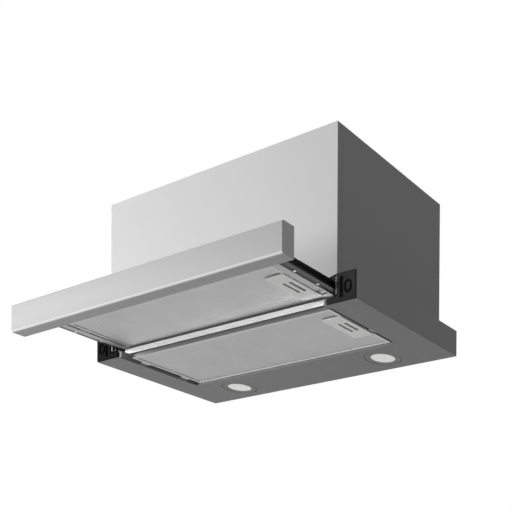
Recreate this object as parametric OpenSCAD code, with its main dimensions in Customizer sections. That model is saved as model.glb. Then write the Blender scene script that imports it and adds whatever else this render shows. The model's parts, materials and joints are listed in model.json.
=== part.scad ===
// Pull-out range hood. A slim frame and its upper body hang in a cupboard,
// and a drawer with a grease filter of its own slides out over the cooktop.
// The drawer is drawn pulled out. +Z is up and the front faces -Y. The origin
// is the middle of the rear face, level with the frame's underside.

/* [Lower frame] */
// Width of the lower frame
frame_w = 592; // [580:1:640]
// Depth of the lower frame, from the rear face to the front edge
frame_d = 262; // [258:1:290]
// Height of the lower frame
frame_h = 43.5; // [43.5:0.5:50]
// Thickness of every folded sheet
sheet_t = 1; // [0.8:0.1:1.2]
// Width of the dark groove beside the fixed filter
bay_groove = 10.5; // [8:0.5:11.5]
// Distance from the frame's front edge to the fixed filter
filter_setback = 19; // [18:0.5:24]

/* [Upper body] */
// Width of the frame's ledge on each side of the body
ledge_span = 37; // [34:0.5:46]
// Height of the body's top above the frame's underside
body_top = 270; // [262:1:320]
// Distance from the frame's front edge back to the front cover
body_setback = 1.5; // [1:0.5:4]
// Height of the front cover's lower edge
cover_low = 40; // [40:0.5:42]
// Length of the front cover's return on the side of the body
cover_return = 9; // [6:0.5:14]

/* [Drawer] */
// Length by which the front panel passes the frame on each side
panel_overhang = 3; // [0:0.5:12]
// Height of the front panel
panel_h = 44.5; // [42:0.5:52]
// Thickness of the front panel
panel_t = 22; // [18:1:30]
// Height of the panel's lower edge above the frame's underside
panel_lift = 1.5; // [1:0.5:3]
// Radius of the panel's front edges
panel_r = 3; // [1.5:0.5:5]
// Travel of the drawer, from shut to pulled out
drawer_travel = 126.5; // [60:0.5:127]

/* [Grease filters] */
// Thickness of a filter cassette
filter_t = 9; // [9:0.5:9.5]
// Width of the border round the mesh
filter_border = 6; // [4:0.5:8]
// Length of the latch, front to rear
latch_l = 81; // [80:1:96]
// Width of the latch
latch_w = 39; // [38:1:44]

/* [Lamps] */
// Distance between the two lamps
lamp_pitch = 349; // [300:1:380]
// Depth of the frame's rear band, which carries the lamps
lamp_band = 95.5; // [92:0.5:100]
// Radius of the lamp's lens
lens_r = 21; // [17:0.5:23]
// Width of the bezel ring round the lens
bezel_w = 10.5; // [8:0.5:11]

/* [Duct and blower] */
// Outer radius of the duct collar
duct_r = 60; // [60:0.5:62]
// Height of the duct collar above the top plate
duct_h = 35; // [34:1:60]
// Outer radius of the blower wheel
wheel_r = 72; // [66:1:74]
// Width of the blower wheel
wheel_w = 90; // [76:1:91]
// Number of blades on the blower wheel
blades = 36; // [24:1:44]
// Radius of the volute where its spiral starts
scroll_start_r = 80; // [78:1:82]
// Radius of the volute where its spiral ends
scroll_end_r = 112; // [108:1:114]
// Radius of the motor
motor_r = 42; // [34:1:46]

/* [Slides] */
// Height of the outer slide channel
slide_h = 27; // [27:0.5:28]
// Length of a slide member
slide_l = 240; // [230:1:244]
// Radius of a slide ball
ball_r = 2.5; // [2.2:0.1:2.5]

/* [Hidden] */
$fn = 64;

// Overrun of every cut, and the clearances that pieces share
over = 0.5;
seat_gap = 0.3;
fit_gap = 0.05;
run_gap = 1;

// Main planes of the frame and the body
front_y = -frame_d;
outer_x = frame_w / 2;
body_w = frame_w - 2 * ledge_span;
panel_w = frame_w + 2 * panel_overhang;
side_x = body_w / 2;
side_in_x = side_x - sheet_t;
ledge_x = side_x + seat_gap;
ledge_turn = 12;
cover_y = front_y + body_setback;
cover_in_y = cover_y + sheet_t;
side_front_y = cover_y + cover_return + seat_gap;
plate_low = body_top - sheet_t;
return_low = frame_h + over;
corner_w = 19.5;
flange_w = 12;
joggle_w = 11;
joggle_y = side_front_y + joggle_w;
back_lap = 12;

// End caps
cap_t = 2.5;
cap_low_h = 10;
cap_margin = 0.7;
cap_relief = 1.6;
cap_in_x = ledge_x + over;
cap_out_x = outer_x - cap_margin;
cap_high = frame_h - cap_margin / 2;
cap_skin = 0.6;
groove_share = 0.255;
groove_w = 6.6;
groove_margin = 6;
ring_share = 0.61;
ring_z = 21;
ring_h = 5;
ring_out_r = 7.5;
ring_in_r = 3.6;
channel_y = front_y + cap_t;

// Ball slides, from the body's side wall inwards
slide_z = 27;
slide_t = 14.5;
slide_sheet = 1.2;
slide_lip = 3;
slide_inset = 3;
slide_step = 1;
outer_depth = 9;
inner_h = 13;
inner_depth = 11.5;
drawer_x = side_in_x - slide_t;
outer_tip_x = side_in_x - outer_depth;
outer_web_x = side_in_x - slide_sheet;
outer_start_y = front_y + slide_inset;
inner_tip_x = drawer_x + inner_depth;
inner_start_y = outer_start_y - slide_step;
cage_t = 0.8;
cage_out_x = outer_web_x - seat_gap;
cage_lap = 4.8;
cage_end = 2;
cage_l = slide_l - drawer_travel - slide_step - 2 * cage_end;
cage_mid_y = outer_start_y + cage_end + cage_l / 2;
ball_in = 3.5;
ball_x = cage_out_x - ball_in;
ball_z = (inner_h / 2 + slide_h / 2 - slide_sheet) / 2;
ball_gap = 0.1;
ball_pitch = 30;
balls = 4;
rivet_r = 1.5;
rivet_in = 3.6;
rivet_head_r = 2.3;
rivet_first = 51.5;
rivet_pitch = 47;
bracket_l = 20;
bracket_plate = 2;
bracket_rise = 8;
bracket_drop = 9.7;
shoe_w = 3.7;
shoe_rise = 0.7;

// Skirt of the body that carries the slides
skirt_low = 14;
skirt_return = 3.3;
skirt_return_high = 40;

// Filter cassettes, drawn from the middle of their underside
side_flange = 13;
filter_gap = 2;
filter_x = drawer_x - side_flange - filter_gap;
filter_d = frame_d - filter_setback - lamp_band;
filter_y = filter_d / 2;
filter_sheet = 1;
mesh_gap = 0.1;
fixed_z = 3;
fixed_filter_y = front_y + filter_setback + filter_y;
catch_x = drawer_x - sheet_t - over;
tab_w = 16;
tab_y = 42;
tab_t = 2;
tab_lift = 0.1;

// Filter bay and the front rail
bay_x = filter_x + bay_groove;
bay_rear_gap = 1.5;
bay_rear_y = front_y + filter_setback + filter_d + bay_rear_gap;
seat_z = fixed_z + filter_t + seat_gap;
seat_w = 15.5;
lip_w = 6;
rail_d = 14;
rail_y = front_y + rail_d;
rail_lap = 16;
rail_h = 8.5;
rail_rise = 5.2;
rail_top = seat_z + rail_rise;

// Lamps
lamp_x = lamp_pitch / 2;
lamp_shift = 0.75;
lamp_y = -lamp_band / 2 - lamp_shift;
bezel_r = lens_r + bezel_w;
dish_r = bezel_r + run_gap;
dish_depth = 2;
bezel_face = 0.2;
hole_rim = 4.5;
lamp_hole_r = bezel_r - hole_rim;
neck_r = lamp_hole_r - seat_gap;
neck_t = 1.2;
neck_h = 6;
lens_face = 0.6;
lens_t = 1;
lens_flange_r = neck_r - neck_t - seat_gap;
module_h = 9;
module_fin_h = 4;

// Drawer, drawn shut and then pulled out
drawer_z = rail_top + run_gap;
drawer_h = 16.5;
cover_z = drawer_z + drawer_h;
panel_gap = 0.5;
panel_sheet = 1.2;
panel_x = panel_w / 2;
back_y = front_y - panel_gap;
panel_in_x = panel_x - panel_sheet - seat_gap;
liner_flange = 8;
front_bar_d = 27;
bar_gap = 0.8;
filter_lift = 0.2;
drawer_filter_z = drawer_z + sheet_t + filter_lift;
drawer_filter_y = back_y + front_bar_d + filter_y;
rear_bar_y = drawer_filter_y + filter_y + bar_gap;
rear_bar_d = 8;
drawer_end_y = rear_bar_y + sheet_t + rear_bar_d + bar_gap;
cover_end_gap = 3;
cover_end_y = front_y + drawer_travel - cover_end_gap;
top_flange = 15;
notch_gap = 1;
notch_w = 9;

// Latch on the underside of each cassette
latch_margin = 1;
latch_x = filter_x - latch_margin - latch_w / 2;
latch_y = -8.25;
latch_lip = 1.2;
latch_corner = 2;
bolt_in = 26;
bolt_out = 2.8;
bolt_x0 = filter_x - bolt_in;
bolt_x1 = filter_x - bolt_out;
bolt_t = 3;
bolt_lift = 0.2;
bolt_travel = 3.5;
grip_in = 19;
grip_x = filter_x - grip_in;
grip_w = 7;
grip_l = 33;
window_gap = 0.5;
travel_spare = 0.8;
finger_w = 6;
window_x0 = grip_x - grip_w / 2 - bolt_travel - travel_spare;
window_x1 = grip_x + grip_w / 2 + finger_w;
tongue_w = 14;
tongue_in = 29.5;
tongue_y = latch_y + tongue_in;
pocket_wall = 1.2;
pocket_gap = 1.5;
pocket_x0 = bolt_x0 - bolt_travel - travel_spare;
pocket_x1 = filter_x - pocket_gap;
pocket_y0 = latch_y - grip_l / 2 - pocket_gap;
pocket_y1 = tongue_y + tongue_w / 2 + pocket_gap;
pocket_h = bolt_lift + bolt_t + seat_gap;

// Controls on top of the drawer
control_w = 92;
control_d = 22;
control_margin = 22;
control_inset = 3;
control_x = drawer_x - control_margin - control_w / 2;
control_y = back_y + control_inset + control_d / 2;
control_t = 1.2;
control_wall = 1.5;
control_rim = 3;
control_drop = 2.6;
slot_w = 4;
speed_in = 25;
speed_x = control_x - speed_in;
speed_travel = 24;
lamp_switch_in = 29;
lamp_switch_x = control_x + lamp_switch_in;
lamp_travel = 8;
knob_w = 8;
knob_d = 9;
knob_h = 1.8;
knob_groove = 0.8;
stem_w = 6;
foot_w = 8;
foot_h = 1.5;

// Top plate and its openings
duct_wall = 2.5;
duct_in_r = duct_r - duct_wall;
duct_flange_w = 18;
duct_flange_r = duct_r + duct_flange_w;
duct_flange_t = 2.5;
duct_screw_in = 10;
duct_screw_r = duct_r + duct_screw_in;
duct_screw_l = 9;
screw_r = 2;
thin_screw_r = 1.5;
screw_gap = 0.1;
head_share = 2;
head_h = 1.6;
fix_hole_r = 2.75;
fix_inset = 23.5;
fix_x = side_in_x - fix_inset;
fix_y = 80;
body_mid_y = front_y / 2;
top_shares = [0.15, 0.5, 0.85];
cross_share = 0.5;
rivet_shares = [-0.75, -0.25, 0.25, 0.75];

// Blower, with its axis along X
volute_t = 2.5;
volute_half = 50;
volute_out = volute_half + volute_t;
blower_y = -155;
blower_z = 146;
cut_a = 75;
scroll_steps = 38;
cut_y = scroll_start_r * cos(cut_a);
duct_y = blower_y + (scroll_end_r + cut_y) / 2;
inlet_r = 55;
inlet_depth = 3.5;
volute_flange = 68;
volute_flange_t = 2;
wheel_half = wheel_w / 2;
wheel_ring = 3;
wheel_ring_share = 0.78;
blade_in_share = 0.8;
blade_out_share = 0.985;
blade_t = 1;
blade_sweep = 12;
blade_steps = 4;
shaft_r = 4;
hub_r = 12;
hub_start = -12;
hub_end = 6;
motor_start = 8;
motor_rear = 4;
motor_end = volute_out + motor_rear;
motor_wall = 2;
rotor_r = 24;
rotor_gap = 0.6;
rotor_l = 20;
bearing_r = 9;
bearing_l = 7;
bearing_seat = 2.5;
bracket_t = 2;
bracket_arm = 14;
bracket_reach = 74;
bush_r = 6;
bush_ring = 66;
motor_mid = (motor_start + motor_end) / 2;

// Flaps in the duct collar
flap_rise = 19;
flap_z = body_top + flap_rise;
flap_r = duct_in_r - run_gap;
flap_t = 1.5;
flap_pin_r = 2;
pin_inset = 1;
pin_skin = 0.8;
knuckle_r = 3.5;
knuckle_pitch = 25;
knuckle_gap = 0.5;
ledge_w = 3.5;
ledge_t = 1.5;
ledge_high = flap_z - flap_t / 2 - seat_gap;

// Control box, capacitor and cable gland
box_y = -70;
box_w = 110;
box_margin = 33;
box_x = side_in_x - box_margin - box_w / 2;
box_d = 70;
box_h = 40;
box_t = 2;
lid_rim = 5;
board_t = 1.6;
board_drop = 30;
relay_size = [16, 12, 13];
coil_size = [30, 24, 16];
chip_r = 5;
chip_h = 14;
cap_r = 14;
cap_l = 50;
cap_pin_r = 2;
cap_pin_l = 8;
gland_r = 8;
gland_bore_r = 4.2;
gland_nut_r = 12;
gland_nut_t = 4;
gland_top = 12;

// Door switch behind the drawer
switch_x = -100;
switch_w = 16;
switch_d = 14;
switch_low = 21.2;
switch_h = 13;
switch_foot = 22;
switch_post = 6;
plunger_r = 1.5;
plunger_l = 10;
plunger_travel = 1.5;
plunger_gap = 0.4;
plunger_out = 2;
tip_y = rear_bar_y + sheet_t + seat_gap;
switch_y = tip_y + plunger_out;

// A block between two corners
module block(x0, x1, y0, y1, z0, z1) {
  translate([x0, y0, z0]) cube([x1 - x0, y1 - y0, z1 - z0]);
}

// A block given by its centre
module centred(x, y, z, size) {
  translate([x, y, z]) cube(size, center = true);
}

// The children and their mirror image on the left
module both() {
  children();
  mirror([1, 0, 0]) children();
}

// Only the mirror image on the left
module left() {
  mirror([1, 0, 0]) children();
}

// The drawer's pieces are drawn shut and pulled out here
module pulled_out() {
  translate([0, -drawer_travel, 0]) children();
}

// An outline in Y and Z, drawn out along X
module along_x(x0, x1) {
  translate([x0, 0, 0]) rotate([90, 0, 90]) linear_extrude(x1 - x0) children();
}

// An outline in X and Z, drawn out along Y
module along_y(y0, y1) {
  translate([0, y1, 0]) rotate([90, 0, 0]) linear_extrude(y1 - y0) children();
}

// Round bars along each axis
module rod_x(r, x0, x1) {
  translate([x0, 0, 0]) rotate([0, 90, 0]) cylinder(r = r, h = x1 - x0);
}

module rod_y(r, y0, y1) {
  translate([0, y1, 0]) rotate([90, 0, 0]) cylinder(r = r, h = y1 - y0);
}

module rod_z(r, z0, z1) {
  translate([0, 0, z0]) cylinder(r = r, h = z1 - z0);
}

// A flat ring about Z
module ring_z(r_in, r_out, z0, z1) {
  difference() {
    rod_z(r_out, z0, z1);
    rod_z(r_in, z0 - over, z1 + over);
  }
}

// A flat ring about X
module ring_x(r_in, r_out, x0, x1) {
  difference() {
    rod_x(r_out, x0, x1);
    rod_x(r_in, x0 - over, x1 + over);
  }
}

// An upright oval in X and Z
module oval(r, h) {
  square([2 * r, h], center = true);
  for (s = [-1, 1]) translate([0, s * h / 2]) circle(r);
}

// A round-headed screw that points down, with the head's seat at zero
module screw(r, length) {
  rod_z(r, -length, 0);
  rod_z(r * head_share, 0, head_h);
}

module lower_frame() {
  color("gray") difference() {
    union() {
      both() {
        block(bay_x, outer_x, channel_y, 0, 0, sheet_t);
        block(outer_x - sheet_t, outer_x, channel_y, 0, 0, frame_h);
        block(ledge_x, outer_x, channel_y, 0, frame_h - sheet_t, frame_h);
        block(ledge_x, ledge_x + sheet_t, channel_y, 0, frame_h - ledge_turn, frame_h);
        block(bay_x - lip_w, outer_x, channel_y, channel_y + sheet_t, 0, cap_low_h);
        block(ledge_x, outer_x, channel_y, channel_y + sheet_t, 0, frame_h);
        bay_side();
      }
      block(-outer_x, outer_x, bay_rear_y, 0, 0, sheet_t);
      block(-outer_x, outer_x, -sheet_t, 0, 0, frame_h - seat_gap);
      block(-bay_x, bay_x, bay_rear_y, bay_rear_y + sheet_t, 0, seat_z + sheet_t);
      block(-bay_x, bay_x, bay_rear_y - seat_w, bay_rear_y + sheet_t, seat_z, seat_z + sheet_t);
      lamp_places() rod_z(dish_r + sheet_t, 0, dish_depth + sheet_t);
    }
    lamp_places() {
      rod_z(dish_r, -over, dish_depth);
      rod_z(lamp_hole_r, 0, dish_depth + sheet_t + over);
    }
    bay_slots();
    rivet_places() rod_y(thin_screw_r + screw_gap, -sheet_t - over, over);
  }
}

// Upright side of the filter bay, and the seat above the filter's edge
module bay_side() {
  block(bay_x, bay_x + sheet_t, channel_y, bay_rear_y + sheet_t, 0, seat_z + sheet_t);
  block(bay_x + sheet_t - seat_w, bay_x + sheet_t, rail_y + rail_lap, bay_rear_y + sheet_t,
    seat_z, seat_z + sheet_t);
}

// Slots for the fixed cassette's tabs on the left and its bolt on the right
module bay_slots() {
  wall_x = bay_x + sheet_t / 2;
  cut = sheet_t + 2 * over;
  for (s = [-1, 1])
    centred(-wall_x, fixed_filter_y + s * tab_y, fixed_z + tab_lift + tab_t / 2,
      [cut, tab_w + 2 * seat_gap, tab_t + 2 * seat_gap]);
  centred(wall_x, fixed_filter_y + tongue_y, fixed_z + bolt_lift + bolt_t / 2,
    [cut, tongue_w + 2 * seat_gap, bolt_t + 2 * seat_gap]);
}

module lamp_places() {
  both() translate([lamp_x, lamp_y, 0]) children();
}

module rivet_places() {
  for (share = rivet_shares) translate([share * side_x, 0, frame_h - back_lap / 2]) children();
}

module top_screw_places() {
  inset = flange_w / 2;
  for (s = [-1, 1], share = top_shares)
    translate([s * (side_in_x - inset), front_y * share, 0]) children();
  for (s = [-1, 1], y = [-inset, cover_y + inset])
    translate([s * side_x * cross_share, y, 0]) children();
}

module top_screw_holes() {
  top_screw_places() rod_z(thin_screw_r + screw_gap, plate_low - 2 * sheet_t, body_top + over);
}

module duct_screw_places() {
  for (a = [45:90:315])
    translate([0, duct_y, 0]) rotate([0, 0, a]) translate([duct_screw_r, 0, 0]) children();
}

module body_shell() {
  back_in_x = side_in_x - joggle_w;
  color("silver") difference() {
    union() {
      both() {
        block(side_in_x, side_x, side_front_y, 0, frame_h, body_top);
        block(side_in_x - sheet_t, side_in_x, cover_in_y, joggle_y, frame_h - sheet_t, plate_low);
        block(side_in_x, side_x, cover_y, -sheet_t, skirt_low, frame_h);
        block(side_x - skirt_return, side_x, cover_y, cover_in_y, skirt_low, skirt_return_high);
        block(side_in_x - flange_w, side_in_x, joggle_y, 0, plate_low - sheet_t, plate_low);
      }
      block(-side_x, side_x, -sheet_t, 0, frame_h, body_top);
      block(-back_in_x, back_in_x, -2 * sheet_t, -sheet_t, frame_h - back_lap,
        frame_h + back_lap);
      block(-side_in_x, side_in_x, -flange_w, 0, plate_low - sheet_t, plate_low);
    }
    rivet_places() rod_y(thin_screw_r + screw_gap, -2 * sheet_t - over, -sheet_t / 2);
    top_screw_holes();
  }
}

module front_cover() {
  corner_x = side_x - corner_w;
  flange_x = side_in_x - joggle_w;
  color("silver") difference() {
    union() {
      along_y(cover_y, cover_in_y) polygon([
        [-corner_x, cover_low], [corner_x, cover_low], [side_x, return_low],
        [side_x, body_top], [-side_x, body_top], [-side_x, return_low]
      ]);
      both() block(side_in_x, side_x, cover_y, cover_y + cover_return, return_low, body_top);
      block(-corner_x, corner_x, cover_y, cover_y + flange_w, cover_low, cover_low + sheet_t);
      block(-flange_x, flange_x, cover_y, cover_y + flange_w, plate_low - sheet_t, plate_low);
    }
    top_screw_holes();
  }
}

module top_plate() {
  color("silver") difference() {
    block(-side_in_x, side_in_x, cover_in_y, -sheet_t, plate_low, body_top);
    translate([0, duct_y, 0]) rod_z(duct_in_r, plate_low - over, body_top + over);
    duct_screw_places() rod_z(screw_r + screw_gap, plate_low - over, body_top + over);
    top_screw_holes();
    for (s = [-1, 1], t = [-1, 1]) translate([s * fix_x, body_mid_y + t * fix_y, 0])
      rod_z(fix_hole_r, plate_low - over, body_top + over);
    translate([-box_x, box_y, 0]) rod_z(gland_r + screw_gap, plate_low - over, body_top + over);
  }
}

module top_screws() {
  color("dimgray") top_screw_places() translate([0, 0, body_top]) screw(thin_screw_r, flange_w / 2);
}

module rear_rivets() {
  color("dimgray") rivet_places() {
    rod_y(thin_screw_r, -2 * sheet_t, 0);
    rod_y(thin_screw_r * head_share, -2 * sheet_t - head_h, -2 * sheet_t);
  }
}

module front_rail() {
  color("white") {
    block(-bay_x, bay_x, rail_y, rail_y + sheet_t, rail_top - rail_h, rail_top);
    block(-bay_x, bay_x, rail_y, rail_y + rail_lap, seat_z, seat_z + sheet_t);
  }
}

// Front end of the frame: an L-shaped cap with a groove and an oval ring sunk into it
module end_cap() {
  cap_w = cap_out_x - cap_in_x;
  ring_x = cap_in_x + ring_share * cap_w;
  color("#202020") difference() {
    along_y(front_y, channel_y) polygon([
      [bay_x + over, cap_margin], [cap_out_x, cap_margin], [cap_out_x, cap_high],
      [cap_in_x, cap_high], [cap_in_x, cap_low_h], [bay_x + over, cap_low_h]
    ]);
    along_y(front_y - over, front_y + cap_relief) translate([ring_x, ring_z]) difference() {
      oval(ring_out_r, ring_h);
      oval(ring_in_r, ring_h);
    }
    along_y(front_y - over, channel_y - cap_skin)
      translate([cap_in_x + groove_share * cap_w, frame_h / 2])
        square([groove_w, frame_h - 2 * groove_margin], center = true);
  }
}

module slide_outer() {
  end_y = outer_start_y + slide_l;
  color("dimgray") {
    block(outer_web_x, side_in_x, outer_start_y, end_y, slide_z - slide_h / 2, slide_z + slide_h / 2);
    translate([0, 0, slide_z]) for (s = [0, 1]) mirror([0, 0, s]) {
      block(outer_tip_x, side_in_x, outer_start_y, end_y, slide_h / 2 - slide_sheet, slide_h / 2);
      block(outer_tip_x, outer_tip_x + slide_sheet, outer_start_y, end_y,
        slide_h / 2 - slide_sheet - slide_lip, slide_h / 2);
    }
  }
}

module slide_inner() {
  end_y = inner_start_y + slide_l;
  color("silver") pulled_out() difference() {
    union() {
      block(drawer_x, drawer_x + slide_sheet, inner_start_y, end_y,
        slide_z - inner_h / 2, slide_z + inner_h / 2);
      for (s = [0, 1]) translate([0, 0, slide_z]) mirror([0, 0, s])
        block(drawer_x, inner_tip_x, inner_start_y, end_y, inner_h / 2 - slide_sheet, inner_h / 2);
    }
    slide_rivet_places() rod_z(rivet_r + screw_gap, -over, slide_sheet + over);
  }
}

module slide_rivet_places() {
  for (i = [0, 1])
    translate([drawer_x + rivet_in, inner_start_y + rivet_first + i * rivet_pitch,
      slide_z - inner_h / 2]) children();
}

module slide_rivets() {
  color("white") pulled_out() both() slide_rivet_places() {
    rod_z(rivet_r, -head_h / 2, slide_sheet);
    rod_z(rivet_head_r, -head_h / 2 - over, 0);
  }
}

module ball_cage() {
  strip_x = cage_out_x - cage_t - cage_lap;
  color("goldenrod") translate([0, cage_mid_y, slide_z]) {
    block(cage_out_x - cage_t, cage_out_x, -cage_l / 2, cage_l / 2, -ball_z, ball_z);
    for (s = [0, 1]) mirror([0, 0, s]) difference() {
      block(strip_x, cage_out_x, -cage_l / 2, cage_l / 2, ball_z - cage_t / 2, ball_z + cage_t / 2);
      ball_places() rod_z(ball_r + ball_gap, -cage_t, cage_t);
    }
    for (s = [0, 1]) mirror([0, 0, s]) ball_places() sphere(ball_r);
  }
}

module ball_places() {
  for (i = [0:balls - 1])
    translate([ball_x - ball_gap, (i - (balls - 1) / 2) * ball_pitch, ball_z]) children();
}

module slide_brackets() {
  plug_gap = slide_sheet + seat_gap;
  low_z = slide_z - bracket_drop;
  shoe_top = slide_z - inner_h / 2 - seat_gap;
  color("#202020") pulled_out() both() {
    block(drawer_x + seat_gap, inner_tip_x + seat_gap, back_y, back_y + bracket_plate,
      low_z, slide_z + bracket_rise);
    block(drawer_x + plug_gap, inner_tip_x - seat_gap, back_y, back_y + bracket_l,
      slide_z - inner_h / 2 + plug_gap, slide_z + inner_h / 2 - plug_gap);
    block(drawer_x + plug_gap, drawer_x + slide_sheet + shoe_w, back_y, back_y + bracket_l,
      low_z + shoe_rise, shoe_top);
  }
}

module duct_collar() {
  tube_top = body_top + duct_h;
  ledge_in_r = duct_in_r - ledge_w;
  color("#303030") difference() {
    translate([0, duct_y, 0]) difference() {
      union() {
        rod_z(duct_flange_r, body_top, body_top + duct_flange_t);
        rod_z(duct_r, body_top, tube_top);
      }
      rod_z(ledge_in_r, body_top - over, tube_top + over);
      rod_z(duct_in_r, body_top - over, ledge_high - ledge_t);
      rod_z(duct_in_r, ledge_high, tube_top + over);
      translate([0, 0, flap_z]) {
        rod_x(flap_pin_r + fit_gap, pin_skin - duct_r, duct_r - pin_skin);
        rod_x(knuckle_r + seat_gap, over - duct_in_r, duct_in_r - over);
      }
    }
    duct_screw_places() rod_z(screw_r + screw_gap, body_top - over, body_top + duct_flange_t + over);
  }
}

module flap_pin() {
  color("silver") translate([0, duct_y, flap_z]) rod_x(flap_pin_r, pin_inset - duct_r, duct_r - pin_inset);
}

// Half a disc with two knuckles, which hangs on the pin
module flap() {
  start_y = knuckle_r + seat_gap;
  knuckle_l = knuckle_pitch - 2 * knuckle_gap;
  color("#b0b0b0") translate([0, duct_y, flap_z]) difference() {
    union() {
      intersection() {
        rod_z(flap_r, -flap_t / 2, flap_t / 2);
        block(-flap_r, flap_r, start_y, flap_r, -flap_t, flap_t);
      }
      for (i = [-2, 0]) translate([i * knuckle_pitch + knuckle_gap, 0, 0]) {
        rod_x(knuckle_r, 0, knuckle_l);
        block(0, knuckle_l, 0, start_y + over, -flap_t / 2, flap_t / 2);
      }
    }
    rod_x(flap_pin_r + fit_gap, -flap_r, flap_r);
  }
}

module flap_rear() {
  flap();
}

module flap_front() {
  translate([0, 2 * duct_y, 0]) rotate([0, 0, 180]) flap();
}

// Air space of the volute, grown outwards by t and open up to the given height
module scroll(t, top) {
  start = cut_y - t;
  step = (360 - cut_a) / scroll_steps;
  growth = (scroll_end_r - scroll_start_r) / scroll_steps;
  polygon([
    [start, top], [start, sqrt(pow(scroll_start_r + t, 2) - start * start)],
    for (i = [1:scroll_steps]) (scroll_start_r + growth * i + t)
      * [cos(cut_a + step * i), sin(cut_a + step * i)],
    [scroll_end_r + t, top]
  ]);
}

// Right half of the volute, split at the middle of the body
module volute() {
  top = plate_low - blower_z;
  mouth = (scroll_end_r - cut_y) / 2;
  screw_end = body_top + duct_flange_t - duct_screw_l;
  color("#8a8a8a") difference() {
    union() {
      translate([0, blower_y, blower_z]) {
        difference() {
          along_x(0, volute_out) scroll(volute_t, top);
          along_x(-over, volute_half) scroll(0, top + over);
          rod_x(inlet_r, 0, volute_out + over);
        }
        ring_x(inlet_r, inlet_r + volute_t, volute_half - inlet_depth, volute_out);
      }
      block(0, volute_flange, duct_y - volute_flange, duct_y + volute_flange,
        plate_low - volute_flange_t, plate_low);
    }
    block(-over, volute_half, duct_y - mouth, duct_y + mouth, plate_low - 2 * volute_flange_t,
      plate_low + over);
    duct_screw_places() rod_z(screw_r + screw_gap, screw_end - over, plate_low + over);
  }
}

module duct_screws() {
  color("dimgray") duct_screw_places() translate([0, 0, body_top + duct_flange_t])
    screw(screw_r, duct_screw_l);
}

// A point on one face of a blade, with its share of the way outwards
function blade_point(share, side) =
  let(
    r = wheel_r * (blade_in_share + (blade_out_share - blade_in_share) * share),
    a = blade_sweep * share * share + side * asin(blade_t / 2 / r)
  ) r * [cos(a), sin(a)];

module impeller() {
  color("#404040") translate([0, blower_y, blower_z]) {
    for (s = [0, 1]) mirror([s, 0, 0])
      ring_x(wheel_r * wheel_ring_share, wheel_r, wheel_half - wheel_ring, wheel_half);
    difference() {
      union() {
        rod_x(wheel_r, -wheel_ring / 2, wheel_ring / 2);
        rod_x(hub_r, hub_start, hub_end);
      }
      rod_x(shaft_r + fit_gap, hub_start - over, hub_end + over);
    }
    along_x(-wheel_half + over, wheel_half - over) for (i = [1:blades]) rotate(360 * i / blades)
      polygon([
        for (k = [0:blade_steps]) blade_point(k / blade_steps, 1),
        for (k = [blade_steps:-1:0]) blade_point(k / blade_steps, -1)
      ]);
  }
}

module motor_shaft() {
  color("silver") translate([0, blower_y, blower_z]) {
    rod_x(shaft_r, hub_start, motor_end - motor_wall - seat_gap);
    rod_x(rotor_r, motor_mid - rotor_l / 2, motor_mid + rotor_l / 2);
  }
}

// Motor can with its stator ring and two bearing seats
module motor_housing() {
  seat_r = bearing_r + fit_gap;
  in_x0 = motor_start + motor_wall;
  in_x1 = motor_end - motor_wall;
  color("#5a5a5a") translate([0, blower_y, blower_z]) {
    difference() {
      rod_x(motor_r, motor_start, motor_end);
      rod_x(motor_r - motor_wall, in_x0, in_x1);
      rod_x(shaft_r + run_gap, motor_start - over, in_x0 + over);
    }
    ring_x(seat_r, seat_r + bearing_seat, in_x0 - over, in_x0 + bearing_l);
    ring_x(seat_r, seat_r + bearing_seat, in_x1 - bearing_l, in_x1 + over);
    ring_x(rotor_r + rotor_gap, motor_r - motor_wall / 2, motor_mid - rotor_l / 2,
      motor_mid + rotor_l / 2);
  }
}

module motor_bearings() {
  first = motor_start + motor_wall;
  last = motor_end - motor_wall;
  color("silver") translate([0, blower_y, blower_z]) {
    ring_x(shaft_r + fit_gap, bearing_r, first, first + bearing_l);
    ring_x(shaft_r + fit_gap, bearing_r, last - bearing_l, last);
  }
}

module motor_bracket() {
  color("silver") translate([0, blower_y, blower_z]) {
    rod_x(motor_r, motor_end, motor_end + bracket_t);
    for (a = [45, 135]) rotate([a, 0, 0])
      block(motor_end, motor_end + bracket_t, -bracket_reach, bracket_reach,
        -bracket_arm / 2, bracket_arm / 2);
  }
}

module motor_bushes() {
  color("#202020") translate([0, blower_y, blower_z]) for (a = [45:90:315]) rotate([a, 0, 0])
    translate([0, bush_ring, 0]) rod_x(bush_r, volute_out, motor_end);
}

module control_box() {
  color("#c8c8c8") translate([-box_x, box_y, plate_low - box_h]) difference() {
    block(-box_w / 2, box_w / 2, -box_d / 2, box_d / 2, 0, box_h);
    block(box_t - box_w / 2, box_w / 2 - box_t, box_t - box_d / 2, box_d / 2 - box_t,
      -over, box_h - box_t);
    rod_z(gland_r + screw_gap, 0, box_h + over);
  }
}

module control_lid() {
  rim_x = box_w / 2 - box_t - seat_gap;
  rim_y = box_d / 2 - box_t - seat_gap;
  color("#d8d8d8") translate([-box_x, box_y, plate_low - box_h]) difference() {
    union() {
      block(-box_w / 2, box_w / 2, -box_d / 2, box_d / 2, -box_t, 0);
      block(-rim_x, rim_x, -rim_y, rim_y, -box_t, lid_rim);
    }
    block(box_t - rim_x, rim_x - box_t, box_t - rim_y, rim_y - box_t, 0, lid_rim + over);
  }
}

module control_board() {
  board_x = box_w / 2 - box_t - seat_gap;
  board_y = box_d / 2 - box_t - seat_gap;
  part_x = board_x / 2;
  part_y = board_y / 2;
  color("#2f6b3a") translate([-box_x, box_y, plate_low - board_drop]) {
    block(-board_x, board_x, -board_y, board_y, -board_t, 0);
    centred(part_x, 0, coil_size[2] / 2, coil_size);
    for (s = [-1, 1]) centred(-part_x, s * part_y, relay_size[2] / 2, relay_size);
    for (s = [-1, 1]) translate([0, s * part_y, 0]) rod_z(chip_r, 0, chip_h);
  }
}

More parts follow.
